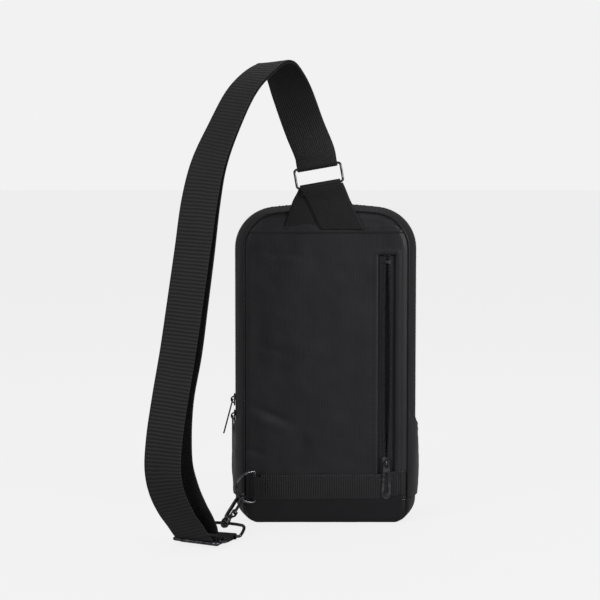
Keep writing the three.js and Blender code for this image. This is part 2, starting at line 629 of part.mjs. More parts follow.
// ---- snap hook -----------------------------------------------------------------------------------------------
const WIRE = 1.5;
const bailAt = ground(0, 32, 3.2);
const contactAngle = THREE.MathUtils.degToRad(-40);
const contact = new THREE.Vector3(
  2 + (D_REACH - 2) * Math.cos(contactAngle), 0, D_HALF_HEIGHT * Math.sin(contactAngle),
).applyAxisAngle(new THREE.Vector3(0, 0, 1), D_TURN).add(D_PIVOT);
const wireAlong = new THREE.Vector3(
  -(D_REACH - 2) * Math.sin(contactAngle), 0, D_HALF_HEIGHT * Math.cos(contactAngle),
).applyAxisAngle(new THREE.Vector3(0, 0, 1), D_TURN).negate().normalize();
const hookAxis = contact.clone().sub(bailAt).normalize();
const HOOK_REACH = 43; // swivel to the D-ring's wire
const swivelAt = contact.clone().addScaledVector(hookAxis, -HOOK_REACH);

const bailAcross = new THREE.Vector3(hookAxis.y, -hookAxis.x, 0).normalize();
const bailFold = crossBar(foldedSection(WIRE + 0.3, 1.1, 4.4, 0.2), -19, 19).rotateX(-Math.PI / 2);
const bailFoldMesh = addPart(bag, 'strap_bail_fold', bailFold, webbing());
bailFoldMesh.position.copy(bailAt);
bailFoldMesh.rotation.z = Math.atan2(bailAcross.y, bailAcross.x);

const bailPoint = (across, back) => swivelAt.clone()
  .addScaledVector(hookAxis, -back).addScaledVector(bailAcross, across);
const bailLength = swivelAt.distanceTo(bailAt);
const bailPoints = [
  [0, bailLength], [12, bailLength], [21, bailLength], [22.8, bailLength - 1.8], [21.5, 8],
  [18.5, 4.6], [10, 3.2], [0, 2.8], [-10, 3.2], [-18.5, 4.6], [-21.5, 8],
  [-22.8, bailLength - 1.8], [-21, bailLength], [-12, bailLength],
].map(([across, back]) => bailPoint(across, back));
const onHookAxis = (distance) => swivelAt.clone().addScaledVector(hookAxis, distance);
const collar = rod(onHookAxis(-5), onHookAxis(1), 4.2, 14);
const collarBore = rod(onHookAxis(-7), onHookAxis(3), 2.3, 14);
const bail = cut(join(closedWire(bailPoints, WIRE, 52, 6), collar), collarBore);
addPart(bag, 'hook_bail', bail, blackMetal());

const hook = new THREE.Group();
const hookBasis = new THREE.Matrix4();
const hookY = wireAlong.clone().addScaledVector(hookAxis, -wireAlong.dot(hookAxis)).normalize();
hookBasis.makeBasis(hookY.clone().cross(hookAxis), hookY, hookAxis);
hook.quaternion.setFromRotationMatrix(hookBasis);
hook.position.copy(swivelAt);
bag.add(hook);
const BEND = { height: HOOK_REACH - 1.4, radius: 6, wire: 1.8 };
const spine = [[0, 0, 3.5], [-2.5, 0, 8], [-5.4, 0, 13], [-6, 0, 18], [-6, 0, 30]];
const bend = [];
for (let step = 0; step <= 6; step += 1) {
  const angle = Math.PI * (1 - step / 6);
  bend.push([BEND.radius * Math.cos(angle), 0, BEND.height + BEND.radius * Math.sin(angle)]);
}
const nose = [[6, 0, BEND.height - 4], [5.6, 0, BEND.height - 6.4]];
const hookPoints = [...spine, ...bend, ...nose].map((point) => new THREE.Vector3(...point));
const swivelPin = new THREE.LatheGeometry([
  [0, -7.4], [3, -7.4], [3, -5.4], [1.9, -5.4], [1.9, 1.4], [3.6, 1.4], [3.6, 5], [2.4, 6.4], [0, 6.4],
].map(([radius, height]) => new THREE.Vector2(radius, height)), 14).rotateX(Math.PI / 2);
const lug = rod(new THREE.Vector3(0, 0, 5.2), new THREE.Vector3(5.2, 0, 8.2), 2.2, 10);
const GATE = { x: 6, low: 12.4, wire: 1.3, high: BEND.height - 7.2, eye: 2, halfEye: 1.3 };
const acrossHook = (radius, from, to) => rod(
  new THREE.Vector3(GATE.x, from, GATE.low), new THREE.Vector3(GATE.x, to, GATE.low), radius, 12,
);
const cheeks = [-1, 1].map((side) => box(
  [GATE.x - 1.9, Math.min(side * 1.6, side * 2.7), 7], [GATE.x + 1.9, Math.max(side * 1.6, side * 2.7), 14.2],
));
const hookWire = openWire(hookPoints, BEND.wire, 30, 8);
const hookBody = cut(join(hookWire, swivelPin, lug, ...cheeks), acrossHook(0.9, -4, 4));
addPart(hook, 'hook_body', hookBody, blackMetal());
addPart(hook, 'gate_pin', acrossHook(0.6, -2.9, 2.9), blackMetal());
const gateRod = rod(
  new THREE.Vector3(GATE.x, 0, GATE.low + 1.4), new THREE.Vector3(GATE.x - 0.4, 0, GATE.high), GATE.wire, 10,
);
const gateEye = acrossHook(GATE.eye, -GATE.halfEye, GATE.halfEye);
addPart(hook, 'hook_gate', cut(join(gateRod, gateEye), acrossHook(0.9, -4, 4)), blackMetal());

// ---- zip sliders and their pulls ------------------------------------------------------------------------------
const SLIDER = { halfWide: 4.2, halfLong: 6.2, under: -2.2, over: 2.3, plate: 1.3, bridge: 4, band: 1.6 };
const PULL = { length: 36, head: 2.9, neck: 7.2, foot: 10, thick: 1.2, pivot: new THREE.Vector3(0, 3.35, -0.3) };

/** Slider in its own frame: X across the zip, Y outwards and Z along the zip. */
function sliderBody() {
  const wing = (nearY, farY) => box(
    [-SLIDER.halfWide, nearY, -SLIDER.halfLong], [SLIDER.halfWide, farY, SLIDER.halfLong],
  );
  const neck = box([-0.75, SLIDER.under + 0.5, 0], [0.75, SLIDER.over - 0.5, SLIDER.halfLong]);
  const section = new THREE.Shape();
  section.absarc(0, 0, SLIDER.bridge, 0, Math.PI, false);
  section.absarc(0, 0, SLIDER.bridge - SLIDER.band, Math.PI, 0, true);
  section.closePath();
  const bridge = new THREE.ExtrudeGeometry(section, { depth: 1.8, bevelEnabled: false, curveSegments: 5 });
  bridge.translate(0, 0, -0.9).rotateY(-Math.PI / 2).translate(0, SLIDER.over - 0.2, 0);
  const under = wing(SLIDER.under, SLIDER.under + SLIDER.plate);
  const over = wing(SLIDER.over - SLIDER.plate, SLIDER.over);
  return join(under, over, neck, bridge);
}

/** Pull that hangs from its pivot towards -Z, with a round eye and a tapered slot. */
function pullTab() {
  const outline = new THREE.Shape();
  const top = 0.6;
  outline.moveTo(-PULL.head, top - 1);
  outline.quadraticCurveTo(-PULL.head, top, -PULL.head + 1.2, top);
  outline.lineTo(PULL.head - 1.2, top);
  outline.quadraticCurveTo(PULL.head, top, PULL.head, top - 1);
  outline.lineTo(PULL.neck / 2, -9);
  outline.lineTo(PULL.foot / 2, 4 - PULL.length);
  outline.quadraticCurveTo(PULL.foot / 2, -PULL.length, 0, -PULL.length);
  outline.quadraticCurveTo(-PULL.foot / 2, -PULL.length, -PULL.foot / 2, 4 - PULL.length);
  outline.lineTo(-PULL.neck / 2, -9);
  outline.closePath();
  const slot = new THREE.Shape();
  slot.moveTo(-1.4, -9.5);
  slot.lineTo(1.4, -9.5);
  slot.lineTo(2.1, 6 - PULL.length);
  slot.lineTo(-2.1, 6 - PULL.length);
  slot.closePath();
  const eye = rod(new THREE.Vector3(0, -2, 0), new THREE.Vector3(0, 2, 0), 1, 14);
  eye.scale(1.7, 1, 2.3).translate(0, 0, -2.9);
  return cut(plate(outline, -PULL.thick / 2, PULL.thick / 2), eye, plate(slot, -2, 2));
}

/** Slider and pull on a zip: where it stands, how it is turned and how far its pull is lifted. */
function addSlider(word, at, turn, lift = 0) {
  const slider = new THREE.Group();
  slider.position.set(...at);
  slider.setRotationFromMatrix(turn);
  bag.add(slider);
  addPart(slider, `${word}_slider`, sliderBody(), blackMetal());
  const pull = addPart(slider, `${word}_pull`, pullTab(), blackMetal());
  pull.position.copy(PULL.pivot);
  pull.rotation.x = lift;
}

/** Turn that sends X, Y and Z to the given outward and along directions. */
function facing(outwards, upwards) {
  const out = new THREE.Vector3(...outwards);
  const up = new THREE.Vector3(...upwards);
  return new THREE.Matrix4().makeBasis(out.clone().cross(up), out, up);
}
const tapeX = -(BAG_HALF_WIDTH - ZIP.tapeThick / 2);
const RESTING_LIFT = THREE.MathUtils.degToRad(15); // the upper pull leans on the lower slider
addSlider('main_upper', [tapeX, 0, 118], facing([-1, 0, 0], [0, 0, 1]), RESTING_LIFT);
addSlider('main_lower', [tapeX, 0, 101], facing([-1, 0, 0], [0, 0, 1]));
addSlider('rear', [REAR_ZIP.x, REAR_ZIP.y, 60], facing([0, -1, 0], [0, 0, 1]));
addSlider('front', [44, FRONT_ZIP.y, FRONT_ZIP.z], facing([0, 1, 0], [1, 0, 0]));

export default bag;
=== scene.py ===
"""Sling bag in coated nylon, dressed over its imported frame.

Lengths are in millimetres in the classes below and become metres in one place, make_mesh. The origin is
the middle of the base, +Z is up, and the body side of the bag faces -Y.
"""
import logging
import math
from dataclasses import dataclass, field
from enum import Enum
from typing import Any, Sequence

import bmesh
import bpy
import numpy as np
from mathutils import Matrix, Vector


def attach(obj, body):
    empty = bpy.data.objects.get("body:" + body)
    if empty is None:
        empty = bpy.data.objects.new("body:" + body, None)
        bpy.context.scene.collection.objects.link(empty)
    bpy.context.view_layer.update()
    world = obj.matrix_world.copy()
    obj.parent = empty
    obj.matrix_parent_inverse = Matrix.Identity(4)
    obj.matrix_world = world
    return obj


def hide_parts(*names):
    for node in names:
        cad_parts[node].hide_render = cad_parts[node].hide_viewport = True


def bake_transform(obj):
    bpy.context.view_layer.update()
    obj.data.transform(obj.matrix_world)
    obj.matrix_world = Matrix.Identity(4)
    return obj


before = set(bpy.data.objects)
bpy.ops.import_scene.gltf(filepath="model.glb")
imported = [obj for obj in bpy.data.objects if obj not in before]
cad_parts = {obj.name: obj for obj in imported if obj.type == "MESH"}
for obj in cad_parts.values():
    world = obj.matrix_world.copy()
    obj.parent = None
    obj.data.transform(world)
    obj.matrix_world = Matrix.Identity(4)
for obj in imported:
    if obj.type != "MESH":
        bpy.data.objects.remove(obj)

logging.basicConfig(level=logging.INFO, format="%(levelname)s %(message)s")
log = logging.getLogger("sling_bag")

MM = 0.001
Array = np.ndarray
Point = Sequence[float]
MATH = "ShaderNodeMath"
NOISE = "ShaderNodeTexNoise"
RAMP = "ShaderNodeValToRGB"
CURVE_STEPS = 24
STITCH_SIDES = 6
STITCH_RINGS = 5


# ---- colour and nodes ----------------------------------------------------------------------------
def linear(hex_code: str) -> tuple[float, float, float, float]:
    """Turn an sRGB hex value into a linear colour.

    Args:
        hex_code: Colour such as "#2a2b2e".

    Returns:
        Linear red, green, blue and an alpha of 1.
    """
    parts = [int(hex_code[i:i + 2], 16) / 255 for i in (1, 3, 5)]
    flat = [c / 12.92 if c <= 0.04045 else ((c + 0.055) / 1.055) ** 2.4 for c in parts]
    return flat[0], flat[1], flat[2], 1.0


def add_node(tree: bpy.types.NodeTree, kind: str, settings: dict[Any, Any] | None = None,
             links: dict[Any, bpy.types.NodeSocket] | None = None) -> bpy.types.Node:
    """Add one node with its settings and links.

    Args:
        tree: Node tree to add to.
        kind: Blender's node type name.
        settings: Socket defaults by socket name or number, and node properties by name. "stops" gives a
            colour ramp's positions and sRGB hex values, in order.
        links: Output sockets that feed this node's inputs, by socket name or number.

    Returns:
        The new node.
    """
    node = tree.nodes.new(kind)
    for key, value in (settings or {}).items():
        if key == "stops":
            elements = node.color_ramp.elements
            while len(elements) < len(value):
                elements.new(0.5)
            for element, (position, hex_code) in zip(elements, value):
                element.position = position
                element.color = linear(hex_code)
        elif not isinstance(key, int) and hasattr(node, key):
            setattr(node, key, value)
        else:
            node.inputs[key].default_value = value
    for key, source in (links or {}).items():
        tree.links.new(source, node.inputs[key])
    return node


def start_material(name: str) -> tuple[bpy.types.Material, bpy.types.NodeTree, bpy.types.Node]:
    """Make an empty material with its output and shader.

    Args:
        name: Name of the material.

    Returns:
        The material, its node tree and its Principled shader.
    """
    material = bpy.data.materials.new(name)
    material.use_nodes = True
    tree = material.node_tree
    tree.nodes.clear()
    shader = add_node(tree, "ShaderNodeBsdfPrincipled")
    add_node(tree, "ShaderNodeOutputMaterial", links={"Surface": shader.outputs[0]})
    return material, tree, shader


# ---- finishes ------------------------------------------------------------------------------------
@dataclass(frozen=True)
class CoatedNylon:
    """Nylon cloth with a polyurethane coat. Its UV map is in millimetres: across, then up."""

    name: str
    light: str
    dark: str
    thread_mm: float
    slub_mm: tuple[float, float]
    relief_mm: float
    roughness: tuple[float, float]
    sheen: float

    def build(self) -> bpy.types.Material:
        """Make the material: crossed threads, uneven slubs, broad clouds of tone and a soft sheen."""
        material, tree, shader = start_material(self.name)
        place = add_node(tree, "ShaderNodeUVMap", {"uv_map": "weave"}).outputs[0]
        axes = add_node(tree, "ShaderNodeSeparateXYZ", links={0: place}).outputs
        step = 2 * math.pi / self.thread_mm
        warp_run = add_node(tree, MATH, {"operation": "MULTIPLY", 1: step}, {0: axes[0]}).outputs[0]
        weft_run = add_node(tree, MATH, {"operation": "MULTIPLY", 1: step}, {0: axes[1]}).outputs[0]
        warp = add_node(tree, MATH, {"operation": "SINE"}, {0: warp_run}).outputs[0]
        weft = add_node(tree, MATH, {"operation": "SINE"}, {0: weft_run}).outputs[0]
        crossing = add_node(tree, MATH, {"operation": "MULTIPLY"}, {0: warp, 1: weft}).outputs[0]
        weave = add_node(tree, MATH, {"operation": "MULTIPLY_ADD", 1: 0.25, 2: 0.5}, {0: crossing}).outputs[0]
        ribs = add_node(tree, MATH, {"operation": "MULTIPLY_ADD", 1: 0.25}, {0: warp, 2: weave}).outputs[0]
        slub_place = add_node(tree, "ShaderNodeVectorMath", {
            "operation": "MULTIPLY", 1: (1 / self.slub_mm[0], 1 / self.slub_mm[1], 0)}, {0: place})
        slub = add_node(tree, NOISE, {"Scale": 1.0, "Detail": 2.0},
                        {"Vector": slub_place.outputs[0]}).outputs[0]
        cloud = add_node(tree, NOISE, {"Scale": 1 / 38, "Detail": 3.0, "Roughness": 0.45},
                         {"Vector": place}).outputs[0]
        grain = add_node(tree, NOISE, {"Scale": 1 / 0.9, "Detail": 1.0},
                         {"Vector": place}).outputs[0]
        slubbed = add_node(tree, MATH, {"operation": "MULTIPLY_ADD", 1: 0.9}, {0: slub, 2: ribs})
        height = slubbed.outputs[0]
        fine = add_node(tree, MATH, {"operation": "MULTIPLY", 1: 0.12}, {0: grain}).outputs[0]
        broad = add_node(tree, MATH, {"operation": "MULTIPLY_ADD", 1: 0.5}, {0: cloud, 2: fine}).outputs[0]
        tone = add_node(tree, MATH, {"operation": "MULTIPLY_ADD", 1: 0.42}, {0: height, 2: broad}).outputs[0]
        colour = add_node(tree, RAMP, {"stops": [(0.35, self.dark), (0.9, self.light)]}, {0: tone})
        tree.links.new(colour.outputs["Color"], shader.inputs["Base Color"])
        low, high = self.roughness
        rough = add_node(tree, "ShaderNodeMapRange", {1: 0.3, 2: 0.75, 3: low, 4: high}, {0: cloud})
        tree.links.new(rough.outputs[0], shader.inputs["Roughness"])
        bump = add_node(tree, "ShaderNodeBump", {"Strength": 1.0, "Distance": self.relief_mm * MM},
                        {"Height": height})
        tree.links.new(bump.outputs[0], shader.inputs["Normal"])
        shader.inputs["IOR"].default_value = 1.5
        shader.inputs["Sheen Weight"].default_value = self.sheen
        shader.inputs["Sheen Roughness"].default_value = 0.35
        shader.inputs["Sheen Tint"].default_value = linear("#9ba0aa")
        return material


@dataclass(frozen=True)
class RibbedWebbing:
    """Woven nylon webbing. Its UV map is in millimetres: along, then across; the back face starts at 60."""

    name: str
    light: str
    dark: str
    rib_mm: float
    cell_mm: float
    relief_mm: float
    roughness: float
    sheen: float
    twill_mm: float = 2.2

    def build(self) -> bpy.types.Material:
        """Make the material: ribs across the band on its face, a fine twill on its back, with painted shade
        in the rib valleys and painted light on the rib tops.
        """
        material, tree, shader = start_material(self.name)
        place = add_node(tree, "ShaderNodeUVMap", {"uv_map": "weave"}).outputs[0]
        axes = add_node(tree, "ShaderNodeSeparateXYZ", links={0: place}).outputs
        back = add_node(tree, MATH, {"operation": "GREATER_THAN", 1: 50.0}, {0: axes[1]}).outputs[0]
        wander = add_node(tree, NOISE, {"Scale": 1 / 14, "Detail": 1.0}, {"Vector": place}).outputs[0]
        along = add_node(tree, MATH, {"operation": "MULTIPLY_ADD", 1: 1.4},
            {0: wander, 2: axes[0]}).outputs[0]
        rib_run = add_node(tree, MATH, {"operation": "MULTIPLY", 1: 2 * math.pi / self.rib_mm}, {0: along})
        rib = add_node(tree, MATH, {"operation": "SINE"}, {0: rib_run.outputs[0]}).outputs[0]
        cell_run = add_node(tree, MATH, {"operation": "MULTIPLY", 1: 2 * math.pi / self.cell_mm},
            {0: axes[1]})
        cell = add_node(tree, MATH, {"operation": "SINE"}, {0: cell_run.outputs[0]}).outputs[0]
        cells = add_node(tree, MATH, {"operation": "MULTIPLY_ADD", 1: 0.14, 2: 0.5}, {0: cell}).outputs[0]
        face = add_node(tree, MATH, {"operation": "MULTIPLY_ADD", 1: 0.36}, {0: rib, 2: cells}).outputs[0]
        slant = add_node(tree, MATH, {"operation": "MULTIPLY_ADD", 1: 0.8},
            {0: axes[0], 2: axes[1]}).outputs[0]
        twill_run = add_node(tree, MATH, {"operation": "MULTIPLY", 1: 2 * math.pi / self.twill_mm},
            {0: slant})
        twill_wave = add_node(tree, MATH, {"operation": "SINE"}, {0: twill_run.outputs[0]}).outputs[0]
        twill = add_node(tree, MATH, {"operation": "MULTIPLY_ADD", 1: 0.3, 2: 0.45},
            {0: twill_wave}).outputs[0]
        height = add_node(tree, "ShaderNodeMix", {"data_type": "FLOAT"},
            {0: back, 2: face, 3: twill}).outputs[0]
        grain = add_node(tree, NOISE, {"Scale": 1 / 0.8, "Detail": 2.0}, {"Vector": place}).outputs[0]
        cloud = add_node(tree, NOISE, {"Scale": 1 / 30, "Detail": 2.0}, {"Vector": place}).outputs[0]
        broad = add_node(tree, MATH, {"operation": "MULTIPLY", 1: 0.22}, {0: cloud}).outputs[0]
        fine = add_node(tree, MATH, {"operation": "MULTIPLY_ADD", 1: 0.28}, {0: grain, 2: broad}).outputs[0]
        # Painted shade and light: the rib relief also sets the colour, darkening the valleys and lightening
        # the rib tops; the grain and clouds are random tone.
        rib_shade_and_grain = add_node(tree, MATH, {"operation": "MULTIPLY_ADD", 1: 0.62}, {0: height, 2: fine}).outputs[0]
        tone = add_node(tree, MATH, {"operation": "MULTIPLY_ADD", 1: -0.14}, {0: back, 2: rib_shade_and_grain}).outputs[0]
        colour = add_node(tree, RAMP, {"stops": [(0.28, self.dark), (0.8, self.light)]}, {0: tone})
        tree.links.new(colour.outputs["Color"], shader.inputs["Base Color"])
        rough = add_node(tree, MATH, {"operation": "MULTIPLY_ADD", 1: 0.25}, {0: grain, 2: height}).outputs[0]
        bump = add_node(tree, "ShaderNodeBump", {"Strength": 1.0, "Distance": self.relief_mm * MM},
                        {"Height": rough})
        tree.links.new(bump.outputs[0], shader.inputs["Normal"])
        shader.inputs["Roughness"].default_value = self.roughness
        shader.inputs["Sheen Weight"].default_value = self.sheen
        shader.inputs["Sheen Roughness"].default_value = 0.4
        shader.inputs["Sheen Tint"].default_value = linear("#8d9199")
        return material


@dataclass(frozen=True)
class SpunCord:
    """Thread, coil or knitted tape: small round forms with a fine grain, placed by object coordinates."""

    name: str
    light: str
    dark: str
    grain_mm: float
    relief_mm: float
    roughness: float
    sheen: float = 0.1

    def build(self) -> bpy.types.Material:
        """Make the material: a fine uneven grain in two tones."""
        material, tree, shader = start_material(self.name)
        place = add_node(tree, "ShaderNodeTexCoord").outputs["Object"]
        grain = add_node(tree, NOISE, {"Scale": 1 / (self.grain_mm * MM), "Detail": 3.0},
                         {"Vector": place}).outputs[0]
        colour = add_node(tree, RAMP, {"stops": [(0.35, self.dark), (0.65, self.light)]}, {0: grain})
        tree.links.new(colour.outputs["Color"], shader.inputs["Base Color"])
        bump = add_node(tree, "ShaderNodeBump", {"Strength": 0.8, "Distance": self.relief_mm * MM},
            {"Height": grain})
        tree.links.new(bump.outputs[0], shader.inputs["Normal"])
        shader.inputs["Roughness"].default_value = self.roughness
        shader.inputs["Sheen Weight"].default_value = self.sheen
        return material


@dataclass(frozen=True)
class PlatedZinc:
    """Die-cast zinc with a dark nickel plate, tumbled before plating."""

    name: str
    light: str
    dark: str
    roughness: tuple[float, float]
    relief_mm: float = 0.05

    def build(self) -> bpy.types.Material:
        """Make the material: a dark mirror with soft casting waves and rubbed, paler wear."""
        material, tree, shader = start_material(self.name)
        place = add_node(tree, "ShaderNodeTexCoord").outputs["Object"]
        waves = add_node(tree, NOISE, {"Scale": 1 / (5 * MM), "Detail": 2.0}, {"Vector": place}).outputs[0]
        grit = add_node(tree, NOISE, {"Scale": 1 / (0.7 * MM), "Detail": 3.0}, {"Vector": place}).outputs[0]
        colour = add_node(tree, RAMP, {"stops": [(0.4, self.dark), (0.7, self.light)]}, {0: waves})
        tree.links.new(colour.outputs["Color"], shader.inputs["Base Color"])
        low, high = self.roughness
        rough = add_node(tree, "ShaderNodeMapRange", {1: 0.3, 2: 0.7, 3: low, 4: high}, {0: grit})
        tree.links.new(rough.outputs[0], shader.inputs["Roughness"])
        bump = add_node(tree, "ShaderNodeBump", {"Strength": 0.5, "Distance": self.relief_mm * MM},
            {"Height": waves})
        tree.links.new(bump.outputs[0], shader.inputs["Normal"])
        shader.inputs["Metallic"].default_value = 1.0
        return material


class Finish(Enum):
    """Every finish of the bag, named for what it is made of."""

    # Satin-coated plain weave: a soft grey bloom with fine upright slubs.
    SATIN_PANEL = CoatedNylon("satin coated nylon", "#2e2e32", "#1e1e21", 1.5, (0.9, 16), 0.10,
        (0.42, 0.56), 0.05)
    # The same cloth on the sides, coarser in weave and more open.
    GUSSET_WEAVE = CoatedNylon("coarse coated nylon", "#242427", "#101012", 2.2, (1.4, 5), 0.22,
        (0.6, 0.72), 0.02)
    # Smooth, heavier-coated cloth of the base and pockets: darker and glossier.
    BASE_CLOTH = CoatedNylon("glossy coated nylon", "#1c1c20", "#111114", 1.4, (1.5, 6), 0.05, (0.34, 0.46),
        0.0)
    POCKET_CLOTH = CoatedNylon("stretch coated nylon", "#29292d", "#151518", 1.6, (1.5, 9), 0.07,
        (0.34, 0.48), 0.03)
    LINING = CoatedNylon("plain polyester lining", "#6a6d74", "#4b4e55", 1.2, (1.2, 4), 0.05, (0.6, 0.75),
        0.1)
    # Cross-ribbed webbing of the strap: painted light makes the rib tops pale and painted shade makes the
    # valleys near-black.
    STRAP_WEBBING = RibbedWebbing("ribbed nylon webbing", "#303033", "#0d0d0f", 3.5, 2.0, 0.45, 0.62, 0.12)
    # Finer, squarer ribs of the band over the base seam, with the same painted shade in the valleys.
    BAND_WEBBING = RibbedWebbing("grid nylon webbing", "#2e2e31", "#111113", 2.3, 2.3, 0.3, 0.6, 0.1)
    # Twill webbing of the tab that holds the ring, with the same painted shade in the rib valleys.
    TAB_WEBBING = RibbedWebbing("twill nylon webbing", "#29292c", "#0f0f11", 2.4, 3.0, 0.3, 0.6, 0.1)
    ZIP_TAPE = SpunCord("knitted polyester zip tape", "#303034", "#1e1e21", 0.9, 0.12, 0.8)
    ZIP_COIL = SpunCord("moulded nylon coil", "#38383c", "#1e1e22", 1.6, 0.03, 0.38, 0.0)
    THREAD = SpunCord("bonded nylon thread", "#232327", "#141417", 0.5, 0.1, 0.6)
    FOAM = SpunCord("closed-cell foam", "#4a4d53", "#33353a", 1.2, 0.2, 0.95, 0.0)
    BOARD = SpunCord("moulded polyethylene board", "#222325", "#161617", 2.0, 0.03, 0.5, 0.0)
    # Dark nickel plate: near-black with bright, narrow highlights.
    DARK_NICKEL = PlatedZinc("dark nickel plated zinc", "#8a8a8f", "#4c4c50", (0.2, 0.34))
    # The pulls are bead-blasted first, so they look matt grey.
    MATT_NICKEL = PlatedZinc("blasted nickel plated zinc", "#7c7c82", "#55555a", (0.42, 0.55))


_built: dict[Finish, bpy.types.Material] = {}


def material_of(finish: Finish) -> bpy.types.Material:
    """Give a finish's material, made on first use.

    Args:
        finish: The finish.

    Returns:
        The material.
    """
    if finish not in _built:
        _built[finish] = finish.value.build()
    return _built[finish]


# ---- meshes --------------------------------------------------------------------------------------
def make_mesh(name: str, vertices: Array, faces: Sequence[Sequence[int]],
              loop_uv: Array | None = None, smooth: bool = True) -> bpy.types.Object:
    """Make a mesh object.

    Args:
        name: Name of the piece.
        vertices: Points in millimetres, one row each.
        faces: Vertex numbers of each face.
        loop_uv: UV pair of every face corner in order, in millimetres.
        smooth: Whether faces are shaded smooth.

    Returns:
        The linked object.
    """
    mesh = bpy.data.meshes.new(name)
    mesh.from_pydata((np.asarray(vertices, float) * MM).tolist(), [], [list(map(int, f)) for f in faces])
    mesh.polygons.foreach_set("use_smooth", [smooth] * len(mesh.polygons))
    if loop_uv is not None:
        layer = mesh.uv_layers.new(name="weave")
        layer.data.foreach_set("uv", np.asarray(loop_uv, np.float32).ravel())
    mesh.update()
    piece = bpy.data.objects.new(name, mesh)
    bpy.context.scene.collection.objects.link(piece)
    return piece


def lofted(name: str, points: Array, uv: Array, keep: Array | None = None, round_columns: bool = False,
           caps: bool = False) -> bpy.types.Object:
    """Make a sheet or tube from a grid of points.

    Args:
        name: Name of the piece.
        points: Rows by columns by 3, in millimetres.
        uv: Rows by columns by 2, in millimetres, with one more column than points on a tube.
        keep: Which cells are filled; all if missing.
        round_columns: Whether the last column joins the first.
        caps: Whether the first and last rows are closed.

    Returns:
        The object.
    """
    rows, columns = points.shape[:2]
    faces: list[list[int]] = []
    loops: list[Array] = []
    for r in range(rows - 1):
        for c in range(columns if round_columns else columns - 1):
            if keep is not None and not keep[r, c]:
                continue
            n = (c + 1) % columns
            faces.append([r * columns + c, r * columns + n, (r + 1) * columns + n, (r + 1) * columns + c])
            loops += [uv[r, c], uv[r, c + 1], uv[r + 1, c + 1], uv[r + 1, c]]
    if caps:
        for r, order in ((0, -1), (rows - 1, 1)):
            ring = list(range(columns))[::order]
            faces.append([r * columns + c for c in ring])
            loops += [uv[r, c] for c in ring]
    piece = make_mesh(name, points.reshape(-1, 3), faces, np.array(loops))
    used = np.zeros(rows * columns, bool)
    used[[i for f in faces for i in f]] = True
    if not used.all():
        drop_loose(piece, used)
    return piece


def drop_loose(piece: bpy.types.Object, used: Array) -> None:
    """Delete the vertices that no face uses.

    Args:
        piece: The piece.
        used: Whether each vertex is used.
    """
    work = bmesh.new()
    work.from_mesh(piece.data)
    work.verts.ensure_lookup_table()
    bmesh.ops.delete(work, geom=[work.verts[i] for i in np.flatnonzero(~used)], context="VERTS")
    work.to_mesh(piece.data)
    work.free()


def thicken(piece: bpy.types.Object, thickness: float, offset: float = -1.0) -> None:
    """Give a sheet its cloth thickness in millimetres.

    Args:
        piece: The sheet.
        thickness: Cloth thickness in millimetres.
        offset: Which way it grows: 1 along the normals, -1 against them, 0 both.
    """
    solid = piece.modifiers.new("thickness", "SOLIDIFY")
    solid.thickness = thickness * MM
    solid.offset = offset
    solid.use_even_offset = False


def smooth_path(points: Sequence[Point], count: int, closed: bool = False) -> Array:
    """Smooth curve through points, evenly sampled.

    Args:
        points: Points it passes through.
        count: Number of samples.
        closed: Whether the curve is a loop.

    Returns:
        Samples, one row each; a loop's last sample isn't repeated.
    """
    knots = np.asarray(points, float)
    if closed:
        knots = np.vstack([knots[-1], knots, knots[:2]])
    else:
        knots = np.vstack([2 * knots[0] - knots[1], knots, 2 * knots[-1] - knots[-2]])
    dense = []
    for p0, p1, p2, p3 in zip(knots, knots[1:], knots[2:], knots[3:]):
        spans = [max(np.linalg.norm(b - a), 1e-6) ** 0.5 for a, b in ((p0, p1), (p1, p2), (p2, p3))]
        t1, t2, t3 = np.cumsum(spans)
        for t in np.linspace(t1, t2, CURVE_STEPS, endpoint=False):
            a1 = (p0 * (t1 - t) + p1 * t) / t1
            a2 = (p1 * (t2 - t) + p2 * (t - t1)) / (t2 - t1)
            a3 = (p2 * (t3 - t) + p3 * (t - t2)) / (t3 - t2)
            b1 = (a1 * (t2 - t) + a2 * t) / t2
            b2 = (a2 * (t3 - t) + a3 * (t - t1)) / (t3 - t1)
            dense.append((b1 * (t2 - t) + b2 * (t - t1)) / (t2 - t1))
    dense.append(knots[-2])
    return even_samples(np.array(dense), count, closed)


def even_samples(line: Array, count: int, closed: bool = False) -> Array:
    """Sample a polyline at even spacing; a loop's last sample isn't repeated.

    Args:
        line: The polyline.
        count: Number of samples.
        closed: Whether it is a loop.

    Returns:
        Samples, one row each.
    """
    run = np.concatenate([[0], np.cumsum(np.linalg.norm(np.diff(line, axis=0), axis=1))])
    where = np.linspace(0, run[-1], count + 1)[:-1] if closed else np.linspace(0, run[-1], count)
    return np.stack([np.interp(where, run, line[:, k]) for k in range(line.shape[1])], axis=1)


def run_length(line: Array) -> Array:
    """Distance along a polyline to each of its points."""
    return np.concatenate([[0], np.cumsum(np.linalg.norm(np.diff(line, axis=0), axis=1))])


def unit(vectors: Array) -> Array:
    """Scale vectors to length 1."""
    return vectors / np.maximum(np.linalg.norm(vectors, axis=-1, keepdims=True), 1e-9)


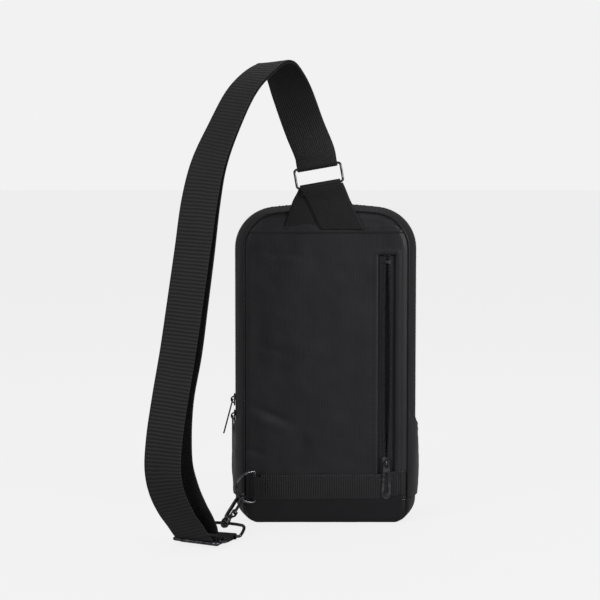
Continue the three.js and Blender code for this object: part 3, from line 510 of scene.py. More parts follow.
def tube(name: str, line: Array, radius: float | Array, sides: int = 12, closed: bool = False,
         flatten: tuple[Point, float] | None = None) -> bpy.types.Object:
    """Make a round wire along a path.

    Args:
        name: Name of the piece.
        line: Path samples in millimetres.
        radius: Radius, or one for each sample.
        sides: Points round the section.
        closed: Whether the path is a loop.
        flatten: A direction and the share of the radius that is kept along it.

    Returns:
        The object.
    """
    ends = (np.roll(line, -1, 0) - np.roll(line, 1, 0)) if closed else np.gradient(line, axis=0)
    tangent = unit(ends)
    side = np.cross(tangent[0], [0.3, 0.5, 0.81])
    sides_out = []
    for t in tangent:
        side = side - t * np.dot(side, t)
        side = side / np.linalg.norm(side)
        sides_out.append(side)
    across = np.array(sides_out)
    if closed:
        twist = math.atan2(np.dot(np.cross(across[-1], across[0]), tangent[0]), np.dot(across[-1], across[0]))
        turn = np.linspace(0, 1, len(line))[:, None] * twist
        across = across * np.cos(turn) + np.cross(tangent, across) * np.sin(turn)
    other = np.cross(tangent, across)
    angle = np.linspace(0, 2 * math.pi, sides, endpoint=False)
    ring = np.cos(angle)[None, :, None] * across[:, None] + np.sin(angle)[None, :, None] * other[:, None]
    if flatten:
        way = unit(np.array(flatten[0], float))
        ring = ring - (1 - flatten[1]) * (ring @ way)[..., None] * way
    points = line[:, None] + ring * (np.broadcast_to(radius, len(line))[:, None, None])
    distance = run_length(line)
    if closed:
        points = np.concatenate([points, points[:1]])
        distance = np.append(distance, distance[-1] + np.linalg.norm(line[0] - line[-1]))
    around = np.linspace(0, 2 * math.pi * float(np.max(radius)), sides + 1)
    uv = np.stack(np.meshgrid(distance, around, indexing="ij"), axis=-1)
    if closed:
        rows = len(points) - 1
        faces, loops = [], []
        for r in range(rows):
            for c in range(sides):
                n, q = (c + 1) % sides, (r + 1) % rows
                faces.append([r * sides + c, r * sides + n, q * sides + n, q * sides + c])
                loops += [uv[r, c], uv[r, c + 1], uv[r + 1, c + 1], uv[r + 1, c]]
        return make_mesh(name, points[:rows].reshape(-1, 3), faces, np.array(loops))
    return lofted(name, points, uv, round_columns=True, caps=True)


def turned(name: str, profile: Sequence[tuple[float, float]], sides: int = 24) -> bpy.types.Object:
    """Make a lathe-turned form about Z from radius and height pairs.

    Args:
        name: Name of the piece.
        profile: Radius and height pairs, in millimetres.
        sides: Points round each ring.

    Returns:
        The object.
    """
    angle = np.linspace(0, 2 * math.pi, sides, endpoint=False)
    rings = [[[max(r, 0.02) * math.cos(a), max(r, 0.02) * math.sin(a), z] for a in angle] for r, z in profile]
    points = np.array(rings)
    uv = np.zeros((len(profile), sides + 1, 2))
    piece = lofted(name, points, uv, round_columns=True, caps=True)
    soften(piece, 0.25)
    return piece


def soften(piece: bpy.types.Object, width: float, segments: int = 2) -> None:
    """Round a piece's sharp edges by a width in millimetres.

    Args:
        piece: The piece.
        width: Width of the rounding in millimetres.
        segments: Steps round each edge.
    """
    bevel = piece.modifiers.new("rounded", "BEVEL")
    bevel.width = width * MM
    bevel.segments = segments
    bevel.limit_method = "ANGLE"
    bevel.angle_limit = math.radians(38)
    bevel.harden_normals = False


def flat_plate(name: str, outlines: Sequence[Array], thickness: float, edge: float) -> bpy.types.Object:
    """Make a flat stamped plate, in X and Z and centred on Y, from outlines; inner ones are holes.

    Args:
        name: Name of the piece.
        outlines: Closed outlines of X and Z pairs in millimetres, the outer one first.
        thickness: Plate thickness in millimetres.
        edge: Radius of its rounded edge in millimetres.

    Returns:
        The object.
    """
    curve = bpy.data.curves.new(name, "CURVE")
    curve.dimensions = "2D"
    curve.fill_mode = "BOTH"
    curve.extrude = (thickness / 2 - edge) * MM
    curve.bevel_depth = edge * MM
    curve.bevel_resolution = 2
    curve.offset = -edge * MM
    for outline in outlines:
        spline = curve.splines.new("POLY")
        spline.points.add(len(outline) - 1)
        for point, (x, z) in zip(spline.points, outline):
            point.co = (x * MM, z * MM, 0, 1)
        spline.use_cyclic_u = True
    holder = bpy.data.objects.new(name + "_outline", curve)
    bpy.context.scene.collection.objects.link(holder)
    bpy.context.view_layer.update()
    mesh = bpy.data.meshes.new_from_object(holder.evaluated_get(bpy.context.evaluated_depsgraph_get()))
    bpy.data.objects.remove(holder)
    bpy.data.curves.remove(curve)
    mesh.name = name
    mesh.transform(Matrix.Rotation(math.pi / 2, 4, "X"))
    mesh.polygons.foreach_set("use_smooth", [False] * len(mesh.polygons))
    piece = bpy.data.objects.new(name, mesh)
    bpy.context.scene.collection.objects.link(piece)
    return piece


def rounded_box(name: str, low: Point, high: Point, edge: float) -> bpy.types.Object:
    """Make a block between two corners with rounded edges.

    Args:
        name: Name of the piece.
        low: Its lowest corner in millimetres.
        high: Its highest corner.
        edge: Width of the rounding.

    Returns:
        The object.
    """
    (x0, y0, z0), (x1, y1, z1) = low, high
    corners = np.array([[x, y, z] for x in (x0, x1) for y in (y0, y1) for z in (z0, z1)])
    faces = [[0, 1, 3, 2], [4, 6, 7, 5], [0, 4, 5, 1], [2, 3, 7, 6], [0, 2, 6, 4], [1, 5, 7, 3]]
    piece = make_mesh(name, corners, faces, smooth=False)
    soften(piece, edge)
    return piece


def settle(piece: bpy.types.Object) -> None:
    """Apply every modifier of a piece.

    Args:
        piece: The piece.
    """
    bpy.context.view_layer.update()
    mesh = bpy.data.meshes.new_from_object(piece.evaluated_get(bpy.context.evaluated_depsgraph_get()))
    old = piece.data
    piece.modifiers.clear()
    piece.data = mesh
    bpy.data.meshes.remove(old)
    mesh.name = piece.name


def joined(name: str, parts: Sequence[bpy.types.Object], turn: Matrix | None = None) -> bpy.types.Object:
    """Join parts into one piece, with their modifiers applied, and turn it into place.

    Args:
        name: Name of the joined piece.
        parts: Pieces to join.
        turn: Matrix that places it.

    Returns:
        The joined piece.
    """
    for part in parts:
        settle(part)
    with bpy.context.temp_override(active_object=parts[0], selected_editable_objects=list(parts),
                                   selected_objects=list(parts)):
        bpy.ops.object.join()
    parts[0].name = name
    parts[0].data.name = name
    if turn is not None:
        parts[0].data.transform(turn)
    return parts[0]


def dress(piece: bpy.types.Object, finish: Finish, body: str, *nodes: str) -> bpy.types.Object:
    """Give a piece its finish, its body and the frame nodes it stands for.

    Args:
        piece: The piece.
        finish: Finish of its whole surface.
        body: Body that it rides on; empty for a piece that is blended between two.
        nodes: Frame nodes that it stands for.

    Returns:
        The same piece.
    """
    piece.data.materials.clear()
    piece.data.materials.append(material_of(finish))
    if body:
        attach(piece, body)
    if nodes:
        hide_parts(*nodes)
    log.info("%s: %d faces on %s", piece.name, len(piece.data.polygons), body)
    return piece


def stitch_row(name: str, line: Array, out: Array, body: str, pitch: float = 3.6, length: float = 2.7,
               radius: float = 0.3, lift: float = 0.12) -> bpy.types.Object:
    """Sew a row of thread stitches.

    Args:
        name: Name of the row.
        line: Path of the seam in millimetres.
        out: Outward direction at each path point, or one for all.
        body: Body that the row rides on.
        pitch: Distance from one stitch to the next.
        length: Visible length of a stitch.
        radius: Thread radius.
        lift: Height of a stitch's middle over the cloth.

    Returns:
        The row as one piece.
    """
    out = np.broadcast_to(np.asarray(out, float), line.shape)
    distance = run_length(line)
    count = max(int(distance[-1] / pitch), 1)
    start = (distance[-1] - count * pitch) / 2 + (pitch - length) / 2
    share = np.linspace(0, 1, STITCH_RINGS)
    angle = np.linspace(0, 2 * math.pi, STITCH_SIDES, endpoint=False)
    vertices, faces = [], []
    for number in range(count):
        places = start + number * pitch + share * length
        spine = np.stack([np.interp(places, distance, line[:, k]) for k in range(3)], axis=1)
        away = unit(np.stack([np.interp(places, distance, out[:, k]) for k in range(3)], axis=1))
        spine = spine + away * (lift - 0.32 * np.abs(2 * share - 1) ** 2)[:, None]
        along = unit(np.gradient(spine, axis=0))
        side = unit(np.cross(along, away))
        up = np.cross(side, along)
        thick = radius * np.sqrt(1 - 0.75 * np.abs(2 * share - 1) ** 3)
        ring = spine[:, None] + (np.cos(angle)[None, :, None] * side[:, None]
                                 + np.sin(angle)[None, :, None] * up[:, None]) * thick[:, None, None]
        base = len(vertices)
        vertices += ring.reshape(-1, 3).tolist()
        for r in range(STITCH_RINGS - 1):
            low, high = base + r * STITCH_SIDES, base + (r + 1) * STITCH_SIDES
            for c in range(STITCH_SIDES):
                n = (c + 1) % STITCH_SIDES
                faces.append([low + c, low + n, high + n, high + c])
        last = base + (STITCH_RINGS - 1) * STITCH_SIDES
        faces.append([base + c for c in range(STITCH_SIDES)][::-1])
        faces.append([last + c for c in range(STITCH_SIDES)])
    return dress(make_mesh(name, np.array(vertices), faces), Finish.THREAD, body)


def smoothstep(low: float, high: float, value: Array) -> Array:
    """Rise smoothly from 0 at low to 1 at high."""
    t = np.clip((np.asarray(value, float) - low) / (high - low), 0, 1)
    return t * t * (3 - 2 * t)


def ripple(x: Array, z: Array, size: float, seed: int, octaves: int = 3) -> Array:
    """Even, smooth waves of about a given size, repeatable from a seed.

    Args:
        x: First coordinate, in millimetres.
        z: Second coordinate, in millimetres.
        size: Rough distance between crests.
        seed: Number that picks the pattern.
        octaves: How many finer layers are added.

    Returns:
        Heights from about -1 to 1.
    """
    chance = np.random.default_rng(seed)
    total = np.zeros(np.broadcast(x, z).shape)
    for octave in range(octaves):
        for _ in range(5):
            turn = chance.uniform(0, 2 * math.pi)
            wave = 2 * math.pi / (size * chance.uniform(0.7, 1.4)) * 1.8 ** octave
            total += np.sin(wave * (x * math.cos(turn) + z * math.sin(turn)) + chance.uniform(0,
                6.3)) * 0.55 ** octave
    return total / 4.5


def fold(x: Array, z: Array, start: Point, end: Point, width: float) -> Array:
    """Long soft fold between two points: 1 on its line, 0 away from it, fading to its ends.

    Args:
        x: First coordinate, in millimetres.
        z: Second coordinate.
        start: One end of the fold.
        end: Its other end.
        width: Its half width.

    Returns:
        Share of the fold's height at each place.
    """
    a, b = np.array(start, float), np.array(end, float)
    span = b - a
    share = ((x - a[0]) * span[0] + (z - a[1]) * span[1]) / (span @ span)
    clear = np.hypot(x - a[0] - np.clip(share, 0, 1) * span[0], z - a[1] - np.clip(share, 0, 1) * span[1])
    fade = smoothstep(-0.02, 0.35, share) * smoothstep(1.02, 0.65, share)
    return np.exp(-(clear / width) ** 2) * fade


# ---- outline of the bag --------------------------------------------------------------------------
@dataclass(frozen=True)
class Arch:
    """Upright arch: straight sides, round top corners and a gently bowed crown."""

    half_width: float
    top: float
    corner: float = 42.0
    crown: float = 450.0

    @property
    def corner_centre(self) -> tuple[float, float]:
        """Centre of the right top corner."""
        x = self.half_width - self.corner
        return x, self.top - self.crown + math.sqrt((self.crown - self.corner) ** 2 - x ** 2)

    def half_width_at(self, z: Array, foot: tuple[float, float]) -> Array:
        """Half width at each height, with a rounded lower corner that is foot wide and high.

        Args:
            z: Heights.
            foot: Width and height of the rounded lower corner.

        Returns:
            Half width at each height.
        """
        cx, cz = self.corner_centre
        z = np.asarray(z, float)
        wide = np.full(z.shape, self.half_width)
        upper = z > cz
        wide[upper] = cx + np.sqrt(np.maximum(self.corner ** 2 - (z[upper] - cz) ** 2, 0))
        lower = z < foot[1]
        share = 1 - z[lower] / foot[1]
        wide[lower] = self.half_width - foot[0] * (1 - np.sqrt(np.maximum(1 - share ** 2, 0)))
        return wide

    def top_at(self, x: Array) -> Array:
        """Height of the top edge at each distance across.

        Args:
            x: Distances across.

        Returns:
            Height of the top edge at each.
        """
        cx, cz = self.corner_centre
        x = np.abs(np.asarray(x, float))
        lean = math.atan2(cx, math.sqrt((self.crown - self.corner) ** 2 - cx ** 2))
        meet = self.crown * math.sin(lean)
        flat = self.top - self.crown + np.sqrt(self.crown ** 2 - np.minimum(x, meet) ** 2)
        round_part = cz + np.sqrt(np.maximum(self.corner ** 2 - np.maximum(x - cx, 0) ** 2, 0))
        return np.where(x < meet, flat, round_part)

    def line(self, bottom: float, count: int) -> Array:
        """Even samples of X and Z from the right foot over the crown to the left foot.

        Args:
            bottom: Height of the two feet.
            count: Number of samples.

        Returns:
            X and Z pairs.
        """
        cx, cz = self.corner_centre
        rise = math.sqrt((self.crown - self.corner) ** 2 - cx ** 2)
        lean = math.atan2(cx, rise)
        corner = [(cx + self.corner * math.cos(a), cz + self.corner * math.sin(a))
                  for a in np.linspace(0, math.pi / 2 - lean, 40)]
        crown = [(self.crown * math.sin(a), self.top - self.crown + self.crown * math.cos(a))
                 for a in np.linspace(lean, 0, 16)[1:]]
        right = [(self.half_width, bottom)] + corner + crown
        return even_samples(np.array(right + [(-x, z) for x, z in right[-2::-1]]), count)


@dataclass(frozen=True)
class BagShape:
    """Driving sizes of the whole bag."""

    widest: float = 92.0
    seam_half_width: float = 83.0
    panel_half_width: float = 80.6
    crest: float = 318.0
    seam_top: float = 313.5
    panel_top: float = 311.0
    corner: float = 42.0
    seam_depth: float = 40.0
    panel_out: float = 43.0
    boot_top: float = 23.5
    seam_foot: tuple[float, float] = (15.0, 14.0)
    middle_foot: tuple[float, float] = (22.0, 19.0)
    yoke_seam: float = 291.0
    pocket_inset: float = 7.0
    pocket_mouth: float = 84.0
    pocket_slope: float = 0.65
    zip_end: float = 93.0

    def swell(self, y: Array) -> Array:
        """Share of the outward swell at a depth: 0 at the seams, 1 half way."""
        return 1 - np.minimum(np.abs(np.asarray(y, float) / self.seam_depth), 1) ** 2.4

    def arch_at(self, y: float) -> Arch:
        """Outline of the shell at a depth.

        Args:
            y: Depth, from -seam_depth to seam_depth.

        Returns:
            The outline there.
        """
        share = float(self.swell(np.array(y)))
        return Arch(self.seam_half_width + (self.widest - self.seam_half_width) * share,
                    self.seam_top + (self.crest - self.seam_top) * share, self.corner)

    @property
    def panel(self) -> Arch:
        """Outline of the two flat faces, just inside the piping."""
        return Arch(self.panel_half_width, self.panel_top, self.corner - 6)


BAG = BagShape()


# ---- body side -----------------------------------------------------------------------------------
@dataclass
class BodySide:
    """Flat padded side with its yoke, the slot of the rear zip and its stitching."""

    slot_x: tuple[float, float] = (51.8, 68.6)
    slot_z: tuple[float, float] = (46.2, 268.3)
    cell: float = 1.9
    lip: float = 0.9
    cloth: float = 1.6
    stitch_left: float = 47.2
    stitch_right: float = 72.6
    stitch_top: float = 271.8
    stitch_low: float = 43.0
    # Depth, two ends and width of each soft fold.
    creases: tuple[tuple[float, Point, Point, float], ...] = (
        (-0.75, (-74, 271), (-20, 267), 3.2), (0.55, (-74, 265), (-18, 262), 4),
        (-0.7, (-70, 176), (-40, 172), 3.0), (0.5, (-70, 170), (-44, 167), 4),
        (-1.0, (-83, 121), (-30, 99), 4.2), (0.8, (-83, 110), (-34, 91), 5),
        (-0.8, (-82, 74), (-60, 70), 3.0), (0.5, (-82, 66), (-60, 64), 4))

    def relief(self, x: Array, z: Array, edge: Array) -> Array:
        """Outward relief of the padded face.

        Args:
            x: Distance across.
            z: Height.
            edge: Distance in from the sewn edge.

        Returns:
            Height over the flat face in millimetres; negative is inwards.
        """
        pad = 0.7 * smoothstep(0, 24, edge) - 0.7
        roll = -1.9 * (1 - smoothstep(0, 4.5, edge))
        clear = np.maximum(np.maximum(self.slot_x[0] - x, x - self.slot_x[1]),
                           np.maximum(self.slot_z[0] - z, z - self.slot_z[1]))
        lip = self.lip * np.exp(-((clear - 2.2) / 2.2) ** 2) - 2.0 * (1 - smoothstep(0, 1.9, clear))
        row = 0.5 * np.exp(-((x - self.stitch_left) / 1.1) ** 2) * smoothstep(40, 46, z) * smoothstep(275,
            268, z)
        beads = 0.32 * np.sin(2 * math.pi * z / 5.2) * np.exp(-((x - self.stitch_left + 0.4) / 1.7) ** 2)
        beads = beads * smoothstep(50, 70, z) * smoothstep(215, 180, z)
        waves = 0.42 * ripple(x, z, 62, 4) * smoothstep(2, 18, edge) * smoothstep(0, 12, clear)
        folds = sum(depth * fold(x, z, start, end, width) for depth, start, end, width in self.creases)
        dimple_centre = -22.0 - 0.04 * (90 - z)
        spread = 2.5 + np.clip(92 - z, 0, 60) * 0.42
        dimple = -1.5 * np.exp(-((x - dimple_centre) / spread) ** 2) * smoothstep(93, 80,
            z) * smoothstep(40, 62, z)
        band = -0.5 * smoothstep(52, 47, z)
        folds = 1.35 * folds
        return pad + roll + lip - row + 1.5 * beads + 1.6 * waves + folds + dimple + band

    def face(self, x: Array, z: Array, edge: Array) -> Array:
        """Points of the face at a grid of places."""
        return np.stack([x, -(BAG.panel_out + self.relief(x, z, edge)), z], axis=-1)

    def main_panel(self) -> None:
        """Make the panel below the cross seam, with the zip's slot left open."""
        panel = BAG.panel
        rows = np.concatenate([np.arange(22.6, self.slot_z[0], self.cell),
                               np.linspace(self.slot_z[0], self.slot_z[1], 118),
                               np.arange(self.slot_z[1] + self.cell, BAG.yoke_seam - 0.2, self.cell),
                               [BAG.yoke_seam - 0.2]])
        wide = panel.half_width_at(rows, BAG.seam_foot)
        left = np.linspace(0, 1, 72)
        middle = np.linspace(self.slot_x[0], self.slot_x[1], 9)
        right = np.linspace(0, 1, 9)
        x = np.concatenate([-wide[:, None] + (self.slot_x[0] + wide[:, None]) * left[None],
                            np.broadcast_to(middle[1:], (len(rows), 8)),
                            self.slot_x[1] + (wide[:, None] - self.slot_x[1]) * right[None, 1:]], axis=1)
        z = np.broadcast_to(rows[:, None], x.shape)
        edge = wide[:, None] - np.abs(x)
        points = self.face(x, z, edge)
        centre_x = (x[:-1, :-1] + x[1:, 1:]) / 2
        centre_z = (z[:-1, :-1] + z[1:, 1:]) / 2
        open_cell = ((centre_x > self.slot_x[0]) & (centre_x < self.slot_x[1])
                     & (centre_z > self.slot_z[0]) & (centre_z < self.slot_z[1]))
        piece = lofted("back_panel_cloth", points, np.stack([x, z], axis=-1), keep=~open_cell)
        thicken(piece, self.cloth, 1.0)
        dress(piece, Finish.SATIN_PANEL, "bag_body", "back_panel")

    def yoke(self) -> None:
        """Make the yoke, whose folded lower edge stands over the panel."""
        panel = BAG.panel
        reach = float(panel.half_width_at(np.array([BAG.yoke_seam - 1.2]), BAG.seam_foot)[0])
        across = np.linspace(-reach, reach, 96)
        top = panel.top_at(across)
        share = np.linspace(0, 1, 16)
        z = (BAG.yoke_seam - 1.2) + (top[None] - BAG.yoke_seam + 1.2) * share[:, None]
        x = np.broadcast_to(across, z.shape)
        edge = np.minimum(top[None] - z, (reach - np.abs(x)) * 0.9 + 0.6)
        over = 0.9 * smoothstep(BAG.yoke_seam + 9, BAG.yoke_seam + 2.5, z)
        curl = -0.9 * smoothstep(BAG.yoke_seam + 0.2, BAG.yoke_seam - 1.2, z)
        seam = -0.45 * np.exp(-((z - BAG.yoke_seam - 3.0) / 0.9) ** 2)
        points = self.face(x, z, edge)
        points[..., 1] -= over + curl + seam
        piece = lofted("yoke_cloth", points, np.stack([x, z], axis=-1))
        thicken(piece, self.cloth, 1.0)
        dress(piece, Finish.SATIN_PANEL, "bag_body", "back_yoke")

    def stitches(self) -> None:
        """Sew the rows round the zip and along the yoke."""
        out = (0, -1, 0)
        y = -BAG.panel_out
        runs = {
            "zip_stitch_left": [(self.stitch_left, y + 0.35, self.stitch_low),
                (self.stitch_left, y + 0.35, self.stitch_top)],
            "zip_stitch_right": [(self.stitch_right, y + 0.05, self.stitch_low),
                (self.stitch_right, y + 0.05, self.stitch_top)],
            "zip_stitch_top": [(self.stitch_left, y, self.stitch_top),
                (self.stitch_right, y, self.stitch_top)],
        }
        for name, ends in runs.items():
            stitch_row(name, even_samples(np.array(ends, float), 60), out, "bag_body", pitch=3.4, length=2.5)
        reach = float(BAG.panel.half_width_at(np.array([BAG.yoke_seam]), BAG.seam_foot)[0]) - 2
        seam = np.array([[-reach, y - 0.35, BAG.yoke_seam + 3.0], [reach, y - 0.35, BAG.yoke_seam + 3.0]])
        stitch_row("yoke_stitch", even_samples(seam, 80), out, "bag_body", pitch=3.3, length=2.5, radius=0.28)

    def inside(self) -> None:
        """Dress the lining and the foam behind the panel."""
        for node, finish in (("rear_pocket_lining", Finish.LINING), ("back_foam_pad", Finish.FOAM)):
            repaint(node, finish)

    def build(self) -> None:
        """Make every piece of the body side."""
        self.main_panel()
        self.yoke()
        self.stitches()
        self.inside()


def repaint(node: str, finish: Finish) -> None:
    """Give a frame node that stays its finish, with a UV map in millimetres across and up.

    Args:
        node: Name of the frame node.
        finish: Its finish.
    """
    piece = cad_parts[node]
    piece.data.materials.clear()
    piece.data.materials.append(material_of(finish))
    if "weave" not in piece.data.uv_layers:
        layer = piece.data.uv_layers.new(name="weave")
        for loop in piece.data.loops:
            place = piece.data.vertices[loop.vertex_index].co
            layer.data[loop.index].uv = ((place.x + place.y) / MM, place.z / MM)


# ---- shell ---------------------------------------------------------------------------------------
@dataclass
class Shell:
    """Gusset strips, base boot, piping and the webbing band over the base seam."""

    zip_edge: float = 9.6
    cloth: float = 1.5
    columns: int = 300
    band_low: float = 22.6
    band_high: float = 49.2
    band_left: float = -66.0
    band_right: float = 79.5

    def recess(self, line: Array, y: float) -> Array:
        """Draw an outline in where the side pockets lie, with a soft step above them.

        Args:
            line: Outline as X and Z pairs.
            y: Depth of the outline.

        Returns:
            The outline, drawn in.
        """
        drawn = line.copy()
        share = smoothstep(BAG.zip_end, BAG.pocket_mouth - 2, line[:, 1])
        fade = max(1 - abs(y / BAG.seam_depth) ** 4, 0)
        drawn[:, 0] -= np.sign(line[:, 0]) * (share * BAG.pocket_inset * 0.98 * fade + 0.8)
        return drawn

    def gusset(self, name: str, node: str, near: float, far: float) -> None:
        """Make one strip of the gusset between two depths.

        Args:
            name: Name of the piece.
            node: Frame node that it stands for.
            near: Depth at the first edge.
            far: Depth at the other edge.
        """
        rows = []
        depths = np.linspace(near, far, 16)
        for y in depths:
            line = self.recess(BAG.arch_at(y).line(BAG.boot_top + 0.4, self.columns), float(y))
            rows.append(np.column_stack([line[:, 0], np.full(len(line), y), line[:, 1]]))
        points = np.array(rows)
        run = run_length(points[0])
        across = np.abs(depths - near)
        seam_near = np.minimum(np.abs(depths - near), np.abs(depths - far))[:, None]
        outward = points - np.array([0, 0, 160])
        outward[..., 1] = 0
        outward[..., 2] = np.maximum(points[..., 2] - 235, 0)
        outward[..., 0] = np.where(points[..., 2] > 230, points[..., 0] * 0.6, points[..., 0])
        outward = unit(outward)
        gathers = np.sin(2 * math.pi * run[None] / 7.5 + 1.5 * np.sin(run[None] / 31))
        pucker = 0.28 * gathers * np.exp(-seam_near / 3.2)
        waves = 0.5 * ripple(run[None] + 0 * seam_near, across[:, None] + 0 * run[None], 55,
            9) * smoothstep(0, 6, seam_near)
        points += outward * (pucker + waves)[..., None]
        uv = np.stack(np.broadcast_arrays(run[None], across[:, None]), axis=-1)
        piece = lofted(name, points, uv)
        thicken(piece, self.cloth, 1.0 if near < far else -1.0)
        dress(piece, Finish.GUSSET_WEAVE, "bag_body", node)
        for label, index, shift in (("seam", 0 if near < -20 else -1, 0.1),
            ("zip", -1 if near < -20 else 0, 0.1)):
            inside = 1 if index == 0 else -2
            stitch_row(f"{name}_stitch_{label}", points[inside][8:-8] + outward[inside][8:-8] * shift,
                       outward[inside][8:-8], "bag_body", pitch=3.8, length=2.8, radius=0.26)

    def boot(self) -> None:
        """Make the base panel that wraps under the bag and up the two faces."""
        depths = np.concatenate([np.linspace(-BAG.panel_out, -BAG.seam_depth, 5), np.linspace(-39, 39, 36),
                                 np.linspace(BAG.seam_depth, BAG.panel_out, 5)])
        rows, lengths = [], []
        for y in depths:
            share = float(BAG.swell(np.array(y)))
            wide = BAG.seam_half_width + (BAG.widest - BAG.seam_half_width) * share
            out = max(abs(y) - BAG.seam_depth, 0) / (BAG.panel_out - BAG.seam_depth)
            wide -= 2.6 * (1 - math.sqrt(max(1 - out ** 2, 0)))
            foot = [BAG.seam_foot[k] + (BAG.middle_foot[k] - BAG.seam_foot[k]) * share for k in (0, 1)]
            lift = 2.4 * (1 - math.sqrt(max(1 - out ** 2, 0)))
            turn = np.linspace(0, math.pi / 2, 12)
            right = [(wide, BAG.boot_top + 0.3), (wide, (BAG.boot_top + foot[1]) / 2)]
            right += [(wide - foot[0] + foot[0] * math.cos(a),
                foot[1] - (foot[1] - lift) * math.sin(a)) for a in turn]
            flat = [(x, lift) for x in np.linspace(wide - foot[0], 0, 12)[1:]]
            line = np.array(right + flat)
            line = np.vstack([line, np.column_stack([-line[-2::-1, 0], line[-2::-1, 1]])])
            line = even_samples(line, 110)
            rows.append(np.column_stack([line[:, 0], np.full(len(line), y), line[:, 1]]))
            lengths.append(run_length(line))
        points = np.array(rows)
        uv = np.stack([np.array(lengths), np.broadcast_to(depths[:, None], (len(depths), 110))], axis=-1)
        piece = lofted("boot_cloth", points, uv)
        thicken(piece, self.cloth, -1.0)
        dress(piece, Finish.BASE_CLOTH, "bag_body", "base_boot")
        for side, node in ((-1, "base_back_facing"), (1, "base_front_facing")):
            self.facing(side, node)
        repaint("base_stiffener", Finish.BOARD)

    def facing(self, side: int, node: str) -> None:
        """Make the part of the base panel that turns up over one face.

        Args:
            side: -1 on the body side, 1 on the front.
            node: Frame node that it stands for.
        """
        panel = BAG.panel
        rows = np.concatenate([[0.15, 0.9], np.linspace(2, BAG.boot_top + 0.4, 14)])
        wide = panel.half_width_at(np.maximum(rows, 0.2), BAG.seam_foot)
        x = wide[:, None] * np.linspace(-1, 1, 90)[None]
        z = np.broadcast_to(rows[:, None], x.shape)
        edge = np.minimum(wide[:, None] - np.abs(x), z * 1.1)
        tuck = 2.3 * (1 - smoothstep(0, 5, edge)) + 0.25 * ripple(x, z, 40, 12 + side)
        y = side * (BAG.panel_out - 0.1 - tuck)
        piece = lofted(f"{node}_cloth", np.stack([x, y, z], axis=-1), np.stack([x, z], axis=-1))
        thicken(piece, self.cloth, 1.0 if side < 0 else -1.0)
        dress(piece, Finish.BASE_CLOTH, "bag_body", node)

    def piping(self) -> None:
        """Make the covered cord in both seams."""
        for side, word in ((-1, "back"), (1, "front")):
            arch = Arch(BAG.seam_half_width - 1.0, BAG.seam_top - 1.0, BAG.corner - 5)
            line = arch.line(BAG.seam_foot[1], 260)
            foot = [(arch.half_width - BAG.seam_foot[0] * (1 - math.cos(a)),
                BAG.seam_foot[1] * (1 - math.sin(a)) + 1.1)
                    for a in np.linspace(math.pi / 2, 0, 14)]
            flat = [(x, 1.2) for x in np.linspace(0, arch.half_width - BAG.seam_foot[0], 20)[:-1]]
            right = np.array(flat + foot[:-1])
            left = np.column_stack([-right[::-1, 0], right[::-1, 1]])
            loop = np.vstack([right, line, left[:-1]])
            y = side * (BAG.panel_out - 1.6)
            path = np.column_stack([loop[:, 0], np.full(len(loop), y), loop[:, 1]])
            path = even_samples(np.vstack([path, path[:1]]), 420, closed=True)
            piece = tube(f"piping_cord_{word}", path, 1.35, 10, closed=True)
            dress(piece, Finish.BASE_CLOTH, "bag_body", f"piping_{word}")

    def band(self) -> None:
        """Make the ribbed webbing band with its stitched edges and raised right end."""
        x = np.linspace(self.band_left, self.band_right, 120)
        share = np.linspace(0, 1, 14)
        rise = 5.0 * smoothstep(50, 79, x)
        low = self.band_low + 0.9 * rise + 0.3 * np.sin(x / 21)
        high = self.band_high - 0.6 + rise + 0.35 * np.sin(x / 27 + 1)
        z = low[None] + (high - low)[None] * share[:, None]
        grid_x = np.broadcast_to(x, z.shape)
        crown = 0.35 * np.sin(math.pi * share)[:, None] + 0.12 * ripple(grid_x, z, 33, 21)
        pinch = 0.35 * sum(np.exp(-((grid_x - place) / 0.9) ** 2) for place in (66.0, 73.5))
        tuck = 1.6 * smoothstep(75.5, 79.5, grid_x)
        y = -(BAG.panel_out + 0.55 + crown - pinch - tuck)
        uv = np.stack([grid_x, z - self.band_low], axis=-1)
        piece = lofted("band_webbing", np.stack([grid_x, y, z], axis=-1), uv)
        thicken(piece, 1.0, 1.0)
        dress(piece, Finish.BAND_WEBBING, "bag_body", "lower_webbing")
        for place in (66.0, 73.5):
            line = np.array([[place, -BAG.panel_out - 1.3, self.band_low + 4],
                [place, -BAG.panel_out - 1.3, self.band_high + 1.5]])
            stitch_row(f"band_stitch_{int(place)}", even_samples(line, 20), (0, -1, 0), "bag_body",
                pitch=2.6, length=1.9)

    def inner_pieces(self) -> None:
        """Dress the divider inside the main compartment."""
        repaint("inner_divider", Finish.LINING)

    def build(self) -> None:
        """Make every piece of the shell."""
        self.gusset("gusset_rear_cloth", "gusset_rear", -BAG.seam_depth - 0.6, -self.zip_edge)
        self.gusset("gusset_front_cloth", "gusset_front", self.zip_edge, BAG.seam_depth + 0.6)
        self.boot()
        self.piping()
        self.band()
        self.inner_pieces()
        for word in ("left", "right"):
            repaint(f"zip_end_panel_{word}", Finish.GUSSET_WEAVE)


